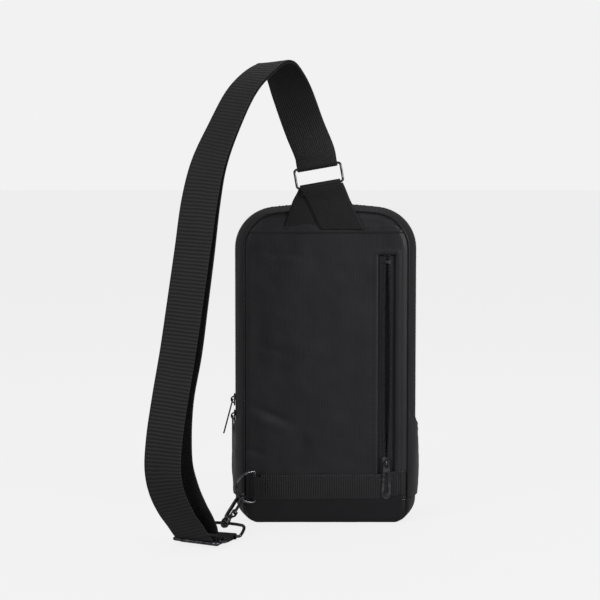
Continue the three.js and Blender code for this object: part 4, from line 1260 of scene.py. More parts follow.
@dataclass
class SidePocket:
    """Open pocket low on one side: a stretched cloth with a bound, slanted mouth."""

    side: int
    word: str
    half_depth: float = 40.2
    floor: float = 24.4
    cloth: float = 1.2

    def build(self) -> None:
        """Make the pocket's cloth, its folds and its bound edge."""
        y = np.linspace(-self.half_depth, self.half_depth, 60)
        share = np.linspace(0, 1, 40)
        mouth = BAG.pocket_mouth - BAG.pocket_slope * y
        z = self.floor + (mouth - self.floor)[None] * share[:, None]
        grid_y = np.broadcast_to(y, z.shape)
        out = BAG.seam_half_width + (BAG.widest - BAG.seam_half_width) * BAG.swell(grid_y)
        out = out + 2.0 * BAG.swell(grid_y) ** 0.4 - 0.8
        out = out + 0.9 * np.sin(math.pi * share)[:, None] * BAG.swell(grid_y)
        folds = (0.9 * np.cos(grid_y / 5.2 + 0.5 * np.sin(z / 17)) * np.exp(-((share - 0.55) / 0.4) ** 2)[:,
            None]
                 + 0.5 * ripple(grid_y, z, 26, 30 + self.side))
        gather = 0.35 * np.sin(grid_y / 1.7) * smoothstep(0.75, 0.95, share)[:, None]
        x = self.side * (out + (folds * 0.7 + gather) * BAG.swell(grid_y) ** 0.5)
        points = np.stack([x, grid_y, z], axis=-1)
        piece = lofted(f"pocket_cloth_{self.word}", points, np.stack([grid_y, z], axis=-1))
        thicken(piece, self.cloth, 1.0 if self.side > 0 else -1.0)
        dress(piece, Finish.POCKET_CLOTH, "bag_body", f"side_pocket_{self.word}")
        rim = points[-1] + np.array([0, 0, 0.2])
        binding = tube(f"pocket_binding_{self.word}", smooth_path(rim[::4], 120), 1.5, 10)
        dress(binding, Finish.BASE_CLOTH, "bag_body")
        below = points[-6] + np.array([self.side * 0.5, 0, 0])
        stitch_row(f"pocket_stitch_{self.word}", smooth_path(below[2:-2:3], 120), (self.side, 0, 0),
            "bag_body")


@dataclass
class FrontSide:
    """Domed pocket over the far face, with its own cross zip."""

    dome: float = 8.0
    slot_x: float = 57.6
    slot_z: tuple[float, float] = (229.6, 246.4)
    cloth: float = 1.4

    def surface(self, x: Array, z: Array) -> Array:
        """Depth of the domed face.

        Args:
            x: Distance across.
            z: Height.

        Returns:
            Depth at each place.
        """
        across = np.minimum(1, np.abs(x / 81))
        up = np.minimum(1, np.abs((z - 168) / 146))
        return BAG.panel_out + 0.4 + self.dome * (1 - across ** 6) * (1 - up ** 6)

    def build(self) -> None:
        """Make the pocket face, its back and its stitching."""
        panel = BAG.panel
        low_rows = np.linspace(23.9, 289, 130)
        rows = np.unique(np.concatenate([low_rows, np.array(self.slot_z)]))
        wide = panel.half_width_at(rows, BAG.seam_foot)
        left = np.linspace(0, 1, 12)
        middle = np.linspace(-self.slot_x, self.slot_x, 60)
        x = np.concatenate([-wide[:, None] + (wide[:, None] - self.slot_x) * left[None],
                            np.broadcast_to(middle[1:-1], (len(rows), 58)),
                            self.slot_x + (wide[:, None] - self.slot_x) * left[None]], axis=1)
        z = np.broadcast_to(rows[:, None], x.shape).copy()
        crown_rows = np.linspace(0, 1, 14)[1:]
        top_x = x[-1]
        top = panel.top_at(top_x)
        crown_z = rows[-1] + (top - rows[-1])[None] * crown_rows[:, None]
        x = np.vstack([x, np.broadcast_to(top_x, crown_z.shape)])
        z = np.vstack([z, crown_z])
        edge = np.minimum(np.concatenate([wide, np.full(13, wide[-1])])[:, None] - np.abs(x),
            panel.top_at(x) - z)
        clear = np.maximum(np.abs(x) - self.slot_x, np.maximum(self.slot_z[0] - z, z - self.slot_z[1]))
        relief = (0.7 * np.exp(-((clear - 2.2) / 2.2) ** 2) - 1.8 * (1 - smoothstep(0, 1.9, clear))
                  - 2.4 * (1 - smoothstep(0, 4.5, edge)) + 0.6 * ripple(x, z, 70, 41) * smoothstep(0, 20,
                      edge))
        points = np.stack([x, self.surface(x, z) + relief, z], axis=-1)
        centre_x = (x[:-1, :-1] + x[1:, 1:]) / 2
        centre_z = (z[:-1, :-1] + z[1:, 1:]) / 2
        is_open = (np.abs(centre_x) < self.slot_x) & (centre_z > self.slot_z[0]) & (centre_z < self.slot_z[1])
        piece = lofted("front_pocket_cloth", points, np.stack([x, z], axis=-1), keep=~is_open)
        thicken(piece, self.cloth, -1.0)
        dress(piece, Finish.SATIN_PANEL, "bag_body", "front_pocket_face")
        repaint("front_panel", Finish.LINING)
        for word, height in (("low", self.slot_z[0] - 4.2), ("high", self.slot_z[1] + 4.2)):
            across = np.linspace(-self.slot_x - 3, self.slot_x + 3, 60)
            line = np.column_stack([across, self.surface(across, np.full(60, height)) + 0.35,
                np.full(60, height)])
            stitch_row(f"front_zip_stitch_{word}", line, (0, 1, 0), "bag_body", pitch=3.4, length=2.5)


# ---- zips ----------------------------------------------------------------------------------------
def coil(name: str, line: Array, out: Array, toward: Array, body: str,
    pitch: float = 1.5) -> bpy.types.Object:
    """Make a row of coil teeth along a tape's edge.

    Args:
        name: Name of the row.
        line: Path of the tape's edge in millimetres.
        out: Outward direction at each point.
        toward: Direction across the gap at each point.
        body: Body that the row rides on.
        pitch: Distance between teeth.

    Returns:
        The row as one piece.
    """
    distance = run_length(line)
    out = np.broadcast_to(np.asarray(out, float), line.shape)
    toward = np.broadcast_to(np.asarray(toward, float), line.shape)
    vertices, faces = [], []
    for place in np.arange(pitch / 2, distance[-1], pitch):
        centre, away, across = (np.array([np.interp(place, distance, item[:, k]) for k in range(3)])
                                for item in (line, out, toward))
        ahead = np.array([np.interp(place + 0.3, distance, line[:, k]) for k in range(3)])
        behind = np.array([np.interp(place - 0.3, distance, line[:, k]) for k in range(3)])
        along = unit(ahead - behind)
        base = len(vertices)
        for reach in (-1.5, 0.9, 1.45):
            for a, b in ((-1, -0.75), (-0.55, 1), (0.55, 1), (1, -0.75)):
                narrow = 0.62 if reach > 1 else 1.0
                tooth = along * a * 0.52 * narrow + away * (0.1 + b * 0.75 * narrow)
                vertices.append(centre + across * reach + tooth)
        for r in range(2):
            for c in range(4):
                n = (c + 1) % 4
                faces.append([base + r * 4 + c, base + r * 4 + n, base + (r + 1) * 4 + n,
                    base + (r + 1) * 4 + c])
        faces.append([base, base + 3, base + 2, base + 1])
        faces.append([base + 8, base + 9, base + 10, base + 11])
    return dress(make_mesh(name, np.array(vertices), faces), Finish.ZIP_COIL, body)


def tape(name: str, near: Array, far: Array, out: Array, body: str, *nodes: str) -> bpy.types.Object:
    """Make a zip tape between its edge and its sewn side, with a raised rib near the edge.

    Args:
        name: Name of the tape.
        near: Path of the edge with the teeth.
        far: Path of the sewn edge.
        out: Outward direction.
        body: Body that it rides on.
        nodes: Frame nodes that it stands for.

    Returns:
        The tape.
    """
    share = np.array([0, 0.06, 0.14, 0.24, 0.34, 0.6, 1.0])
    rib = np.array([0.1, 0.45, 0.55, 0.35, 0.0, 0.0, 0.0])
    points = near[:, None] + (far - near)[:, None] * share[None, :, None]
    points = points + np.broadcast_to(out, near.shape)[:, None] * rib[None, :, None]
    run = run_length(near)
    uv = np.stack(np.broadcast_arrays(run[:, None], 8 * share[None]), axis=-1)
    piece = lofted(name, points, uv)
    thicken(piece, 0.9, 0.0)
    return dress(piece, Finish.ZIP_TAPE, body, *nodes)


@dataclass
class Zips:
    """Tapes and teeth of the rear, main and front zips."""

    rear_x: float = 60.2
    rear_y: float = -41.7
    rear_low: float = 46.0
    rear_high: float = 268.5
    rear_bow: tuple[float, float] = (1.6, 2.4)
    gap: float = 1.5
    front_z: float = 238.0
    front_y: float = 50.2
    front_half: float = 57.0

    def rear(self) -> None:
        """Make the open rear zip: its two tapes bow apart above the slider."""
        z = np.linspace(self.rear_low, self.rear_high, 90)
        share = np.clip((z - 66) / (self.rear_high - 6 - 66), 0, 1)
        for side, word, bow in ((-1, "left", self.rear_bow[0]), (1, "right", self.rear_bow[1])):
            apart = self.gap + bow * np.sin(math.pi * share) ** 0.7 * smoothstep(0, 0.05, share)
            apart = np.where(z < 62, self.gap * 0.9, apart)
            near = np.column_stack([self.rear_x + side * apart, np.full(90, self.rear_y), z])
            lean = 0.35 * np.sin(z / 23 + side)
            far = np.column_stack([np.full(90, self.rear_x + side * 9.6), self.rear_y + 0.4 + lean * 0.4, z])
            tape(f"rear_tape_{word}", near, far, np.array([0, -1, 0]), "bag_body", f"rear_zip_tape_{word}")
            coil(f"rear_teeth_{word}", near + np.array([0, -0.55, 0]), (0, -1, 0), (-side, 0, 0), "bag_body")
        stop = rounded_box("rear_stop", (self.rear_x - 3.4, -43.7, 259.6),
            (self.rear_x + 3.4, -42.3, 262.8), 0.4)
        dress(stop, Finish.DARK_NICKEL, "bag_body", "rear_zip_top_stop")

    def main(self) -> None:
        """Make the closed main zip round the arch."""
        edge = 1.35
        for side, word in ((-1, "rear"), (1, "front")):
            line = BAG.arch_at(edge).line(BAG.zip_end, 420)
            outer = BAG.arch_at(10.2).line(BAG.zip_end, 420)
            inward = unit(np.column_stack([line[:, 0], np.maximum(line[:, 1] - 240, 0)]))
            near = np.column_stack([line[:, 0], np.full(420, side * edge), line[:, 1]])
            far = np.column_stack([outer[:, 0], np.full(420, side * 10.2), outer[:, 1]])
            away = np.column_stack([inward[:, 0], np.zeros(420), inward[:, 1]])
            near -= away * 1.3
            far -= away * 0.9
            tape(f"main_tape_{word}", near, far, away, "bag_body", f"main_zip_tape_{word}")
            coil(f"main_teeth_{word}", near + away * 0.55, away, (0, -side, 0), "bag_body")

    def front(self) -> None:
        """Make the closed cross zip of the front pocket."""
        x = np.linspace(-self.front_half, self.front_half, 60)
        for side, word in ((-1, "lower"), (1, "upper")):
            near = np.column_stack([x, np.full(60, self.front_y), np.full(60, self.front_z + side * 1.35)])
            far = np.column_stack([x, np.full(60, self.front_y - 0.3),
                np.full(60, self.front_z + side * 9.4)])
            tape(f"front_tape_{word}", near, far, np.array([0, 1, 0]), "bag_body", f"front_zip_tape_{word}")
            coil(f"front_teeth_{word}", near + np.array([0, 0.55, 0]), (0, 1, 0), (0, 0, -side), "bag_body")

    def build(self) -> None:
        """Make every zip."""
        self.rear()
        self.main()
        self.front()


@dataclass
class Slider:
    """Zip slider and its pull, made in the slider's own frame: X across, Y outwards, Z along."""

    word: str
    at: tuple[float, float, float]
    outwards: tuple[float, float, float]
    along: tuple[float, float, float]
    lift: float = 0.0
    half_wide: float = 4.1
    half_long: float = 6.1
    pull_length: float = 36.0
    pull_thick: float = 1.2
    pivot: tuple[float, float, float] = (0.0, 3.5, -0.3)

    @property
    def place(self) -> Matrix:
        """Matrix from the slider's frame in metres to the bag's."""
        out, up = Vector(self.outwards), Vector(self.along)
        across = out.cross(up)
        turn = Matrix((across, out, up)).transposed().to_4x4()
        return Matrix.Translation(Vector(self.at) * MM) @ turn

    def wing(self, y: float, thick: float) -> bpy.types.Object:
        """Make one of the slider's two plates: broad shoulders and a narrower tail.

        Args:
            y: Height of the plate over the zip.
            thick: Its thickness.

        Returns:
            The plate.
        """
        w, l = self.half_wide, self.half_long
        right = [(0.8, l - 0.6), (1.6, l), (w - 0.9, l), (w, l - 1.0), (w, l - 4.6), (w - 1.0, -l + 2.6),
                 (w - 1.2, -l + 0.7), (w - 1.9, -l)]
        outline = np.array(right + [(-x, z) for x, z in right[::-1]])
        plate = flat_plate(f"{self.word}_wing", [outline], thick, 0.3)
        plate.data.transform(Matrix.Translation((0, y * MM, 0)))
        return plate

    def body(self) -> None:
        """Make the slider: two plates, a neck and the bridge that holds the pull."""
        under = self.wing(-1.55, 1.2)
        over = self.wing(1.65, 1.3)
        neck = rounded_box("neck", (-0.75, -1.6, 0.4), (0.75, 1.6, self.half_long - 0.4), 0.2)
        turn = np.linspace(math.pi, 0, 15)
        bridge_line = np.column_stack([np.zeros(15), 2.0 + 2.9 * np.sin(turn) ** 0.8, 3.1 * np.cos(turn)])
        bridge = tube("bridge", bridge_line, 0.8, 12, flatten=((0, 0, 1), 1.0))
        piece = joined(f"{self.word}_slider_body", [under, over, neck, bridge], self.place)
        dress(piece, Finish.DARK_NICKEL, f"{self.word}_slider_link", f"{self.word}_slider")

    def pull(self) -> None:
        """Make the pull: a stamped tab that widens to a round foot, with an eye and a tapered slot."""
        length = self.pull_length
        head, neck, foot = 2.9, 3.6, 5.0
        side = [(head - 0.9, 0.8), (head - 0.2, 0.55), (head, -0.2), (neck, -9), (foot - 0.15, 5.2 - length)]
        end = [(foot * math.cos(a), -(length - 4.2) - 4.2 * math.sin(a)) for a in np.linspace(0.08,
            math.pi / 2, 8)]
        right = side + end
        outline = np.array(right + [(-x, z) for x, z in right[-2::-1]])
        eye = np.array([(1.7 * math.cos(a), -2.9 + 2.2 * math.sin(a)) for a in np.linspace(0, 2 * math.pi,
            20)[:-1]])
        slot = np.array([(-1.4, -9.6), (-1.1, -9.2), (1.1, -9.2), (1.4, -9.6), (2.1, 6.4 - length),
            (1.7, 5.9 - length),
                         (-1.7, 5.9 - length), (-2.1, 6.4 - length)])
        tab = flat_plate(f"{self.word}_pull_tab", [outline, eye, slot], self.pull_thick, 0.35)
        raised = flat_plate("raised_rim", [outline * [0.999, 1.0], rim_inside(outline, 0.9)],
            self.pull_thick + 0.3, 0.25)
        piece = joined(f"{self.word}_pull_tab", [tab, raised])
        turn = Matrix.Translation(Vector(self.pivot) * MM) @ Matrix.Rotation(math.radians(self.lift), 4, "X")
        piece.data.transform(self.place @ turn)
        dress(piece, Finish.MATT_NICKEL, f"{self.word}_pull_link", f"{self.word}_pull")

    def build(self) -> None:
        """Make the slider and its pull."""
        self.body()
        self.pull()


def rim_inside(outline: Array, width: float) -> Array:
    """Shrink a closed outline inwards by about a width, for the inner edge of a rim.

    Args:
        outline: Closed outline.
        width: Distance inwards in millimetres.

    Returns:
        The smaller outline.
    """
    ahead = np.roll(outline, -1, 0) - np.roll(outline, 1, 0)
    normal = unit(np.column_stack([-ahead[:, 1], ahead[:, 0]]))
    centre = outline.mean(0)
    flip = np.sign(np.sum(normal * (centre - outline), axis=1, keepdims=True))
    return outline + normal * flip * width


# ---- strap ---------------------------------------------------------------------------------------
GROUND_TURN = math.radians(-28)
ADJUSTER_AT = np.array([-120.0, -143.0, 0.0])
RING_AT = np.array([-7.6, -46.5, 346.5])
RING_TILT = math.radians(10)
RING_X = np.array([math.cos(RING_TILT), 0, math.sin(RING_TILT)])
RING_Z = np.array([-math.sin(RING_TILT), 0, math.cos(RING_TILT)])
GROUND_ACROSS = np.array([math.cos(GROUND_TURN), math.sin(GROUND_TURN), 0])
GROUND_ALONG = np.array([-math.sin(GROUND_TURN), math.cos(GROUND_TURN), 0])


def ground(across: float, along: float, up: float) -> Array:
    """Point beside the adjuster: across it, along it and above the floor."""
    return ADJUSTER_AT + GROUND_ACROSS * across + GROUND_ALONG * along + np.array([0, 0, up])


def webbing_ribbon(name: str, line: Array, across: Array, width: float, thick: float,
                   caps: bool = True) -> bpy.types.Object:
    """Make a webbing band along a path.

    Args:
        name: Name of the piece.
        line: Centre path in millimetres.
        across: Direction of the width at each sample.
        width: Webbing width.
        thick: Webbing thickness.
        caps: Whether the cut ends are closed.

    Returns:
        The band; its back face has UV rows that start at 60.
    """
    along = unit(np.gradient(line, axis=0))
    wide = across - along * np.sum(across * along, axis=1, keepdims=True)
    wide = unit(wide)
    normal = np.cross(wide, along)
    half, edge = width / 2, thick / 2
    flat = np.linspace(-half + edge * 1.6, half - edge * 1.6, 13)
    corner = np.array([(half - edge * 0.5, edge * 0.82), (half, 0.0), (half - edge * 0.5, -edge * 0.82)])
    section = [(v, edge) for v in flat] + [tuple(c) for c in corner] + [(v, -edge) for v in flat[::-1]]
    section += [(-v, -h) for v, h in corner]
    section = np.array(section)
    place_v = [60 + v + half for v in flat] + [60 + width, width + 0.3,
        width] + [v + half for v in flat[::-1]]
    place_v += [0.0, 0.1, 60.0]
    place_v.append(place_v[0])
    points = (line[:, None] + wide[:, None] * section[None, :, :1] + normal[:, None] * section[None, :, 1:])
    run = run_length(line)
    uv = np.stack(np.broadcast_arrays(run[:, None], np.array(place_v)[None]), axis=-1)
    return lofted(name, points, uv, round_columns=True, caps=caps)


@dataclass
class Strap:
    """Doubled webbing strap: up from the adjuster, through the ring and back down to the hook."""

    width: float = 40.0
    thick: float = 1.55
    samples: int = 620
    outer_arch: tuple[tuple[Point, Point, float], ...] = (
        ((-9.9, -44.1, 359.6), (0.985, 0, 0.17), 4.4),
        ((-11.3, -44, 367.5), (0.98, 0, 0.19), 4.0),
        ((-21.5, -42.8, 393), (0.95, 0, 0.3), 2.2),
        ((-34, -45.5, 428), (0.93, -0.25, 0.28), 1.9),
        ((-43, -57, 449), (0.76, -0.62, 0.2), 1.8),
        ((-51, -74, 455), (0.6, -0.79, 0.03), 1.8),
        ((-64, -89, 446.5), (0.58, -0.8, -0.12), 1.8),
        ((-81, -101, 427.5), (0.66, -0.73, -0.12), 1.8),
        ((-99, -113, 391.2), (0.71, -0.68, -0.16), 2.2),
        ((-112.5, -121, 357.4), (0.82, -0.56, -0.1), 3.4),
        ((-120, -127, 323.8), (0.87, -0.48, -0.06), 5.5),
        ((-126.5, -134, 277), (0.87, -0.49, -0.05), 8),
        ((-133, -141, 230), (0.87, -0.49, -0.05), 9.5),
        ((-139.5, -148, 184), (0.87, -0.49, -0.05), 11),
    )
    outer_fall: tuple[Point, ...] = (
        (-18, -23.5, 138), (-20, -30.5, 101), (-20, -33, 74), (-17, -31, 54), (-11, -25, 35),
        (-5.5, -17.5, 21), (-2, -12.8, 12.5), (0, -9.5, 7.9), (0, -5, 3.4), (0, 0, 1.9), (0, 5, 3.4),
        (0, 9.5, 7.9), (0, 13.5, 4.6), (0, 17, 2.2))
    inner_fall: tuple[Point, ...] = (
        (-19.5, -10.5, 138), (-21, -12, 101), (-19, -12.5, 74), (-13, -11.5, 54), (-7, -8, 38),
            (-2, -3.4, 25),
        (-0.2, -0.6, 17), (0, 0, 12.6))

    def stations(self) -> tuple[Array, Array]:
        """Points and width directions from the adjuster up the inner layer and down the outer one.

        Returns:
            The points, then the width directions.
        """
        at = np.array([s[0] for s in self.outer_arch], float)
        wide = unit(np.array([s[1] for s in self.outer_arch], float))
        gap = np.array([s[2] for s in self.outer_arch])
        along = unit(np.vstack([at[1] - at[0], at[2:] - at[:-2], at[-1] - at[-2]]))
        inwards = unit(np.cross(along, wide))
        inner = at - inwards * gap[:, None]
        bar = RING_AT + RING_Z * 9.3
        turn = [bar + np.array([0, -1, 0]) * 2.4 * math.cos(a) - RING_Z * 2.4 * math.sin(a)
                for a in np.linspace(0, math.pi, 9)]
        fall_in = [ground(*p) for p in self.inner_fall]
        fall_out = [ground(*p) for p in self.outer_fall]
        points = fall_in[::-1] + list(inner[::-1]) + turn + list(at) + fall_out
        across = ([GROUND_ACROSS] * len(fall_in) + list(wide[::-1]) + [RING_X] * len(turn)
                  + list(wide) + [GROUND_ACROSS] * len(fall_out))
        return np.array(points), np.array(across)

    def run(self) -> None:
        """Make the long band that folds round the ring and weaves through the adjuster."""
        points, across = self.stations()
        both = smooth_path(np.hstack([points, across * 20]), self.samples)
        line, wide = both[:, :3], unit(both[:, 3:])
        piece = webbing_ribbon("strap_webbing", line, wide, self.width, self.thick)
        ring_run = run_length(line)[np.argmin(np.linalg.norm(line - RING_AT - RING_Z * 9.3, axis=1))]
        for corner in piece.data.uv_layers["weave"].data:
            if corner.uv.x < ring_run and corner.uv.y < 50:
                corner.uv.y += 60
        dress(piece, Finish.STRAP_WEBBING, "strap_link", "strap_outer_run", "strap_inner_run",
            "strap_ring_turn")

    def bail_fold(self) -> None:
        """Make the webbing's end, folded round the hook's bail and sewn to itself."""
        hook = Hook()
        across = hook.bail_across
        along = np.array([-across[1], across[0], 0])
        if along @ GROUND_ALONG < 0:
            along = -along
        bar = hook.bail_at
        turn = [bar + along * 2.5 * math.cos(a) + np.array([0, 0, 2.5 * math.sin(a)])
                for a in np.linspace(math.pi / 2, -math.pi / 2, 12)]
        over = [ground(0, 15, 3.0), bar - along * 9 + np.array([0, 0, 1.0]),
            bar - along * 5 + np.array([0, 0, 1.7])]
        under = [bar - along * 4 + np.array([0, 0, -1.6]), ground(0, 18, 1.3), ground(0, 13.5, 1.3)]
        line = smooth_path(np.array(over + turn + under), 80)
        wide = np.broadcast_to(across, line.shape)
        piece = webbing_ribbon("bail_webbing", line, wide, 38.0, 1.2)
        dress(piece, Finish.STRAP_WEBBING, "strap_link", "strap_bail_fold")

    def end_loop(self) -> None:
        """Make the strap's sewn end round the adjuster's middle bar."""
        bar = ADJUSTER_AT + np.array([0, 0, 5.4])
        turn = [bar + GROUND_ALONG * 2.3 * math.cos(a) - np.array([0, 0, 2.3 * math.sin(a)])
                for a in np.linspace(0, math.pi, 12)]
        up_front = bar + GROUND_ALONG * 1.2 + np.array([0, 0, 4.6])
        up_back = bar - GROUND_ALONG * 1.2 + np.array([0, 0, 4.6])
        line = smooth_path(np.array([up_front] + turn + [up_back]), 50)
        piece = webbing_ribbon("end_loop_webbing", line, np.broadcast_to(GROUND_ACROSS, line.shape), 39.0,
            1.1)
        dress(piece, Finish.STRAP_WEBBING, "adjuster_link", "strap_end_loop")

    def build(self) -> None:
        """Make every piece of the strap."""
        self.run()
        self.bail_fold()
        self.end_loop()


@dataclass
class TopTab:
    """Crossed webbing tab on the yoke with its fold round the ring."""

    thick: float = 1.3
    low: float = 293.5
    cut: float = 337.5
    out: float = BAG.panel_out + 0.35

    def leg(self, name: str, node: str, low_x: float, high_x: float, wide: float, layer: int) -> None:
        """Make one slanted leg.

        Args:
            name: Name of the piece.
            node: Frame node that it stands for.
            low_x: Middle of its lower edge.
            high_x: Middle of its upper edge.
            wide: Width along the seam.
            layer: 0 against the bag, 1 over the other leg.
        """
        z = np.linspace(self.low, self.cut, 34)
        share = (z - self.low) / (self.cut - self.low)
        reach = smoothstep(0.62, 1.0, share)
        centre = low_x + (high_x - low_x) * share
        v = np.linspace(-0.5, 0.5, 22)
        x = centre[:, None] + wide * v[None] * (1 - 0.02 * share[:, None])
        y = -(self.out + (self.thick + 0.35) * layer) - 0.7 * np.sin(math.pi * share)[:,
            None] * (1 - (2 * v) ** 4)[None] * 0.3
        y = y - 0.15 * ripple(x, z[:, None] + 0 * x, 25, 50 + layer)
        bar_y = RING_AT[1] + (1.2 if layer == 0 else -2.0)
        y = y + (bar_y - y) * reach[:, None]
        height = z[:, None] + x * math.tan(RING_TILT) * reach[:, None] * 0.8
        points = np.stack([x, y, height], axis=-1)
        slope = math.atan2(high_x - low_x, self.cut - self.low)
        along = points[..., 2] * math.cos(slope) + points[..., 0] * math.sin(slope)
        sideways = points[..., 0] * math.cos(slope) - points[..., 2] * math.sin(slope)
        uv = np.stack([along, sideways + 110 if layer else 110 - sideways], axis=-1)
        piece = lofted(name, points, uv)
        thicken(piece, self.thick, 1.0)
        settle(piece)
        dress(piece, Finish.TAB_WEBBING, "", node)
        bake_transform(piece)
        base = np.column_stack([x[1][1:-1], y[1][1:-1] - 0.15, np.full(20, self.low + 1.6)])
        stitch_row(f"{name}_stitch", base, (0, -1, 0), "bag_body", pitch=2.6, length=2.0)

    def ring_fold(self) -> None:
        """Make the tab's fold round the ring's lower bar."""
        bar = RING_AT - RING_Z * 9.3
        turn = [bar + np.array([0, 1, 0]) * 2.3 * math.cos(a) + RING_Z * 2.3 * math.sin(a)
                for a in np.linspace(0, math.pi, 14)]
        back = bar + np.array([0, 1.0, 0]) - RING_Z * 7.3
        front = bar - np.array([0, 1.0, 0]) - RING_Z * 7.3
        line = smooth_path(np.array([back] + turn + [front]), 60)
        piece = webbing_ribbon("tab_fold_webbing", line, np.broadcast_to(RING_X, line.shape), 40.4,
            self.thick)
        dress(piece, Finish.TAB_WEBBING, "strap_link", "tab_ring_loop")

    def ring(self) -> None:
        """Make the rectangular wire ring."""
        wide, high, corner = 23.0, 9.3, 2.6
        points = []
        for number, (sx, sz) in enumerate(((1, 1), (-1, 1), (-1, -1), (1, -1))):
            for a in np.linspace(0, math.pi / 2, 8):
                turn = a + number * math.pi / 2
                points.append((sx * (wide - corner) + corner * math.cos(turn),
                    sz * (high - corner) + corner * math.sin(turn)))
        loop = np.array([RING_AT + RING_X * x + RING_Z * z for x, z in points])
        line = even_samples(np.vstack([loop, loop[:1]]), 150, closed=True)
        dress(tube("ring_wire", line, 1.2, 14, closed=True), Finish.DARK_NICKEL, "strap_link", "top_ring")

    def build(self) -> None:
        """Make the tab and its ring."""
        self.leg("tab_back_webbing", "tab_back_leg", -22, -6.2, 43, 0)
        self.leg("tab_front_webbing", "tab_front_leg", 16, -5.2, 43.5, 1)
        self.ring_fold()
        self.ring()


@dataclass
class Adjuster:
    """Three-bar slide lying over the strap near the ground."""

    half_length: float = 24.0
    half_depth: float = 9.5
    wire: float = 1.5
    height: float = 5.4

    def build(self) -> None:
        """Make the frame and the middle bar."""
        corner = 3.4
        loop = []
        for number, (sx, sy) in enumerate(((1, 1), (-1, 1), (-1, -1), (1, -1))):
            for a in np.linspace(0, math.pi / 2, 8):
                turn = a + number * math.pi / 2
                loop.append(ground(sx * (self.half_length - corner) + corner * math.cos(turn),
                                   sy * (self.half_depth - corner) + corner * math.sin(turn), self.height))
        line = even_samples(np.vstack([loop, loop[:1]]), 150, closed=True)
        rim = tube("adjuster_rim", line, self.wire, 14, closed=True)
        bar_line = np.array([ground(x, 0, self.height) for x in np.linspace(-self.half_length,
            self.half_length, 20)])
        bar = tube("adjuster_bar", bar_line, self.wire * 0.95, 14)
        piece = joined("adjuster_frame", [rim, bar])
        dress(piece, Finish.DARK_NICKEL, "adjuster_link", "adjuster")


@dataclass
class DRing:
    """D-ring in its webbing fold at the lower left corner."""

    pivot: tuple[float, float, float] = (-71.0, -48.6, 37.0)
    turn: float = math.radians(206)
    half_height: float = 15.5
    reach: float = 20.0
    wire: float = 1.5

    def local(self, out: float, up: float) -> Array:
        """Point of the ring's plane: out from the straight bar and up."""
        return np.array(self.pivot) + np.array([math.cos(self.turn) * out, math.sin(self.turn) * out, up])

    def build(self) -> None:
        """Make the ring and its fold."""
        curve = [(2 + (self.reach - 2) * math.cos(a), self.half_height * math.sin(a))
                 for a in np.linspace(-math.pi / 2, math.pi / 2, 30)]
        corner_up = [(0.6, self.half_height - 0.5), (0, self.half_height - 2.4)]
        bar = [(0, h) for h in np.linspace(self.half_height - 4, 4 - self.half_height, 12)]
        corner_low = [(0, 2.4 - self.half_height), (0.6, 0.5 - self.half_height)]
        points = np.array([self.local(*p) for p in curve + corner_up + bar + corner_low])
        line = smooth_path(points, 140, closed=True)
        dress(tube("d_ring_wire", line, self.wire, 14, closed=True), Finish.DARK_NICKEL, "d_ring_link",
            "d_ring")
        self.fold()

    def fold(self) -> None:
        """Make the webbing fold that holds the ring, with its sewn tail.
        """
        radius, low, high = 3.7, 24.6, 46.5
        x, y = self.pivot[0], self.pivot[1]
        turn = [(x - radius * math.sin(a), y - radius * math.cos(a)) for a in np.linspace(0, math.pi, 16)]
        tail = [(x + 9.5, y - radius + 0.5), (x + 5, y - radius + 0.05)]
        back = [(x + 3, y + radius), (x + 7.0, y + radius)]
        path = np.array([(px, py, (low + high) / 2) for px, py in tail + turn + back])
        line = smooth_path(path, 70)
        up = np.broadcast_to(np.array([0.0, 0.0, 1.0]), line.shape)
        piece = webbing_ribbon("d_fold_webbing", line, up, high - low, 1.0)
        dress(piece, Finish.BAND_WEBBING, "bag_body", "d_ring_fold")
        for place in (x + 6.2, x + 8.4):
            row = np.array([[place, y - radius - 0.5, low + 2], [place, y - radius - 0.5, high - 2]])
            stitch_row(f"d_fold_stitch_{int(place)}", even_samples(row, 20), (0, -1, 0), "bag_body",
                pitch=2.2, length=1.7)


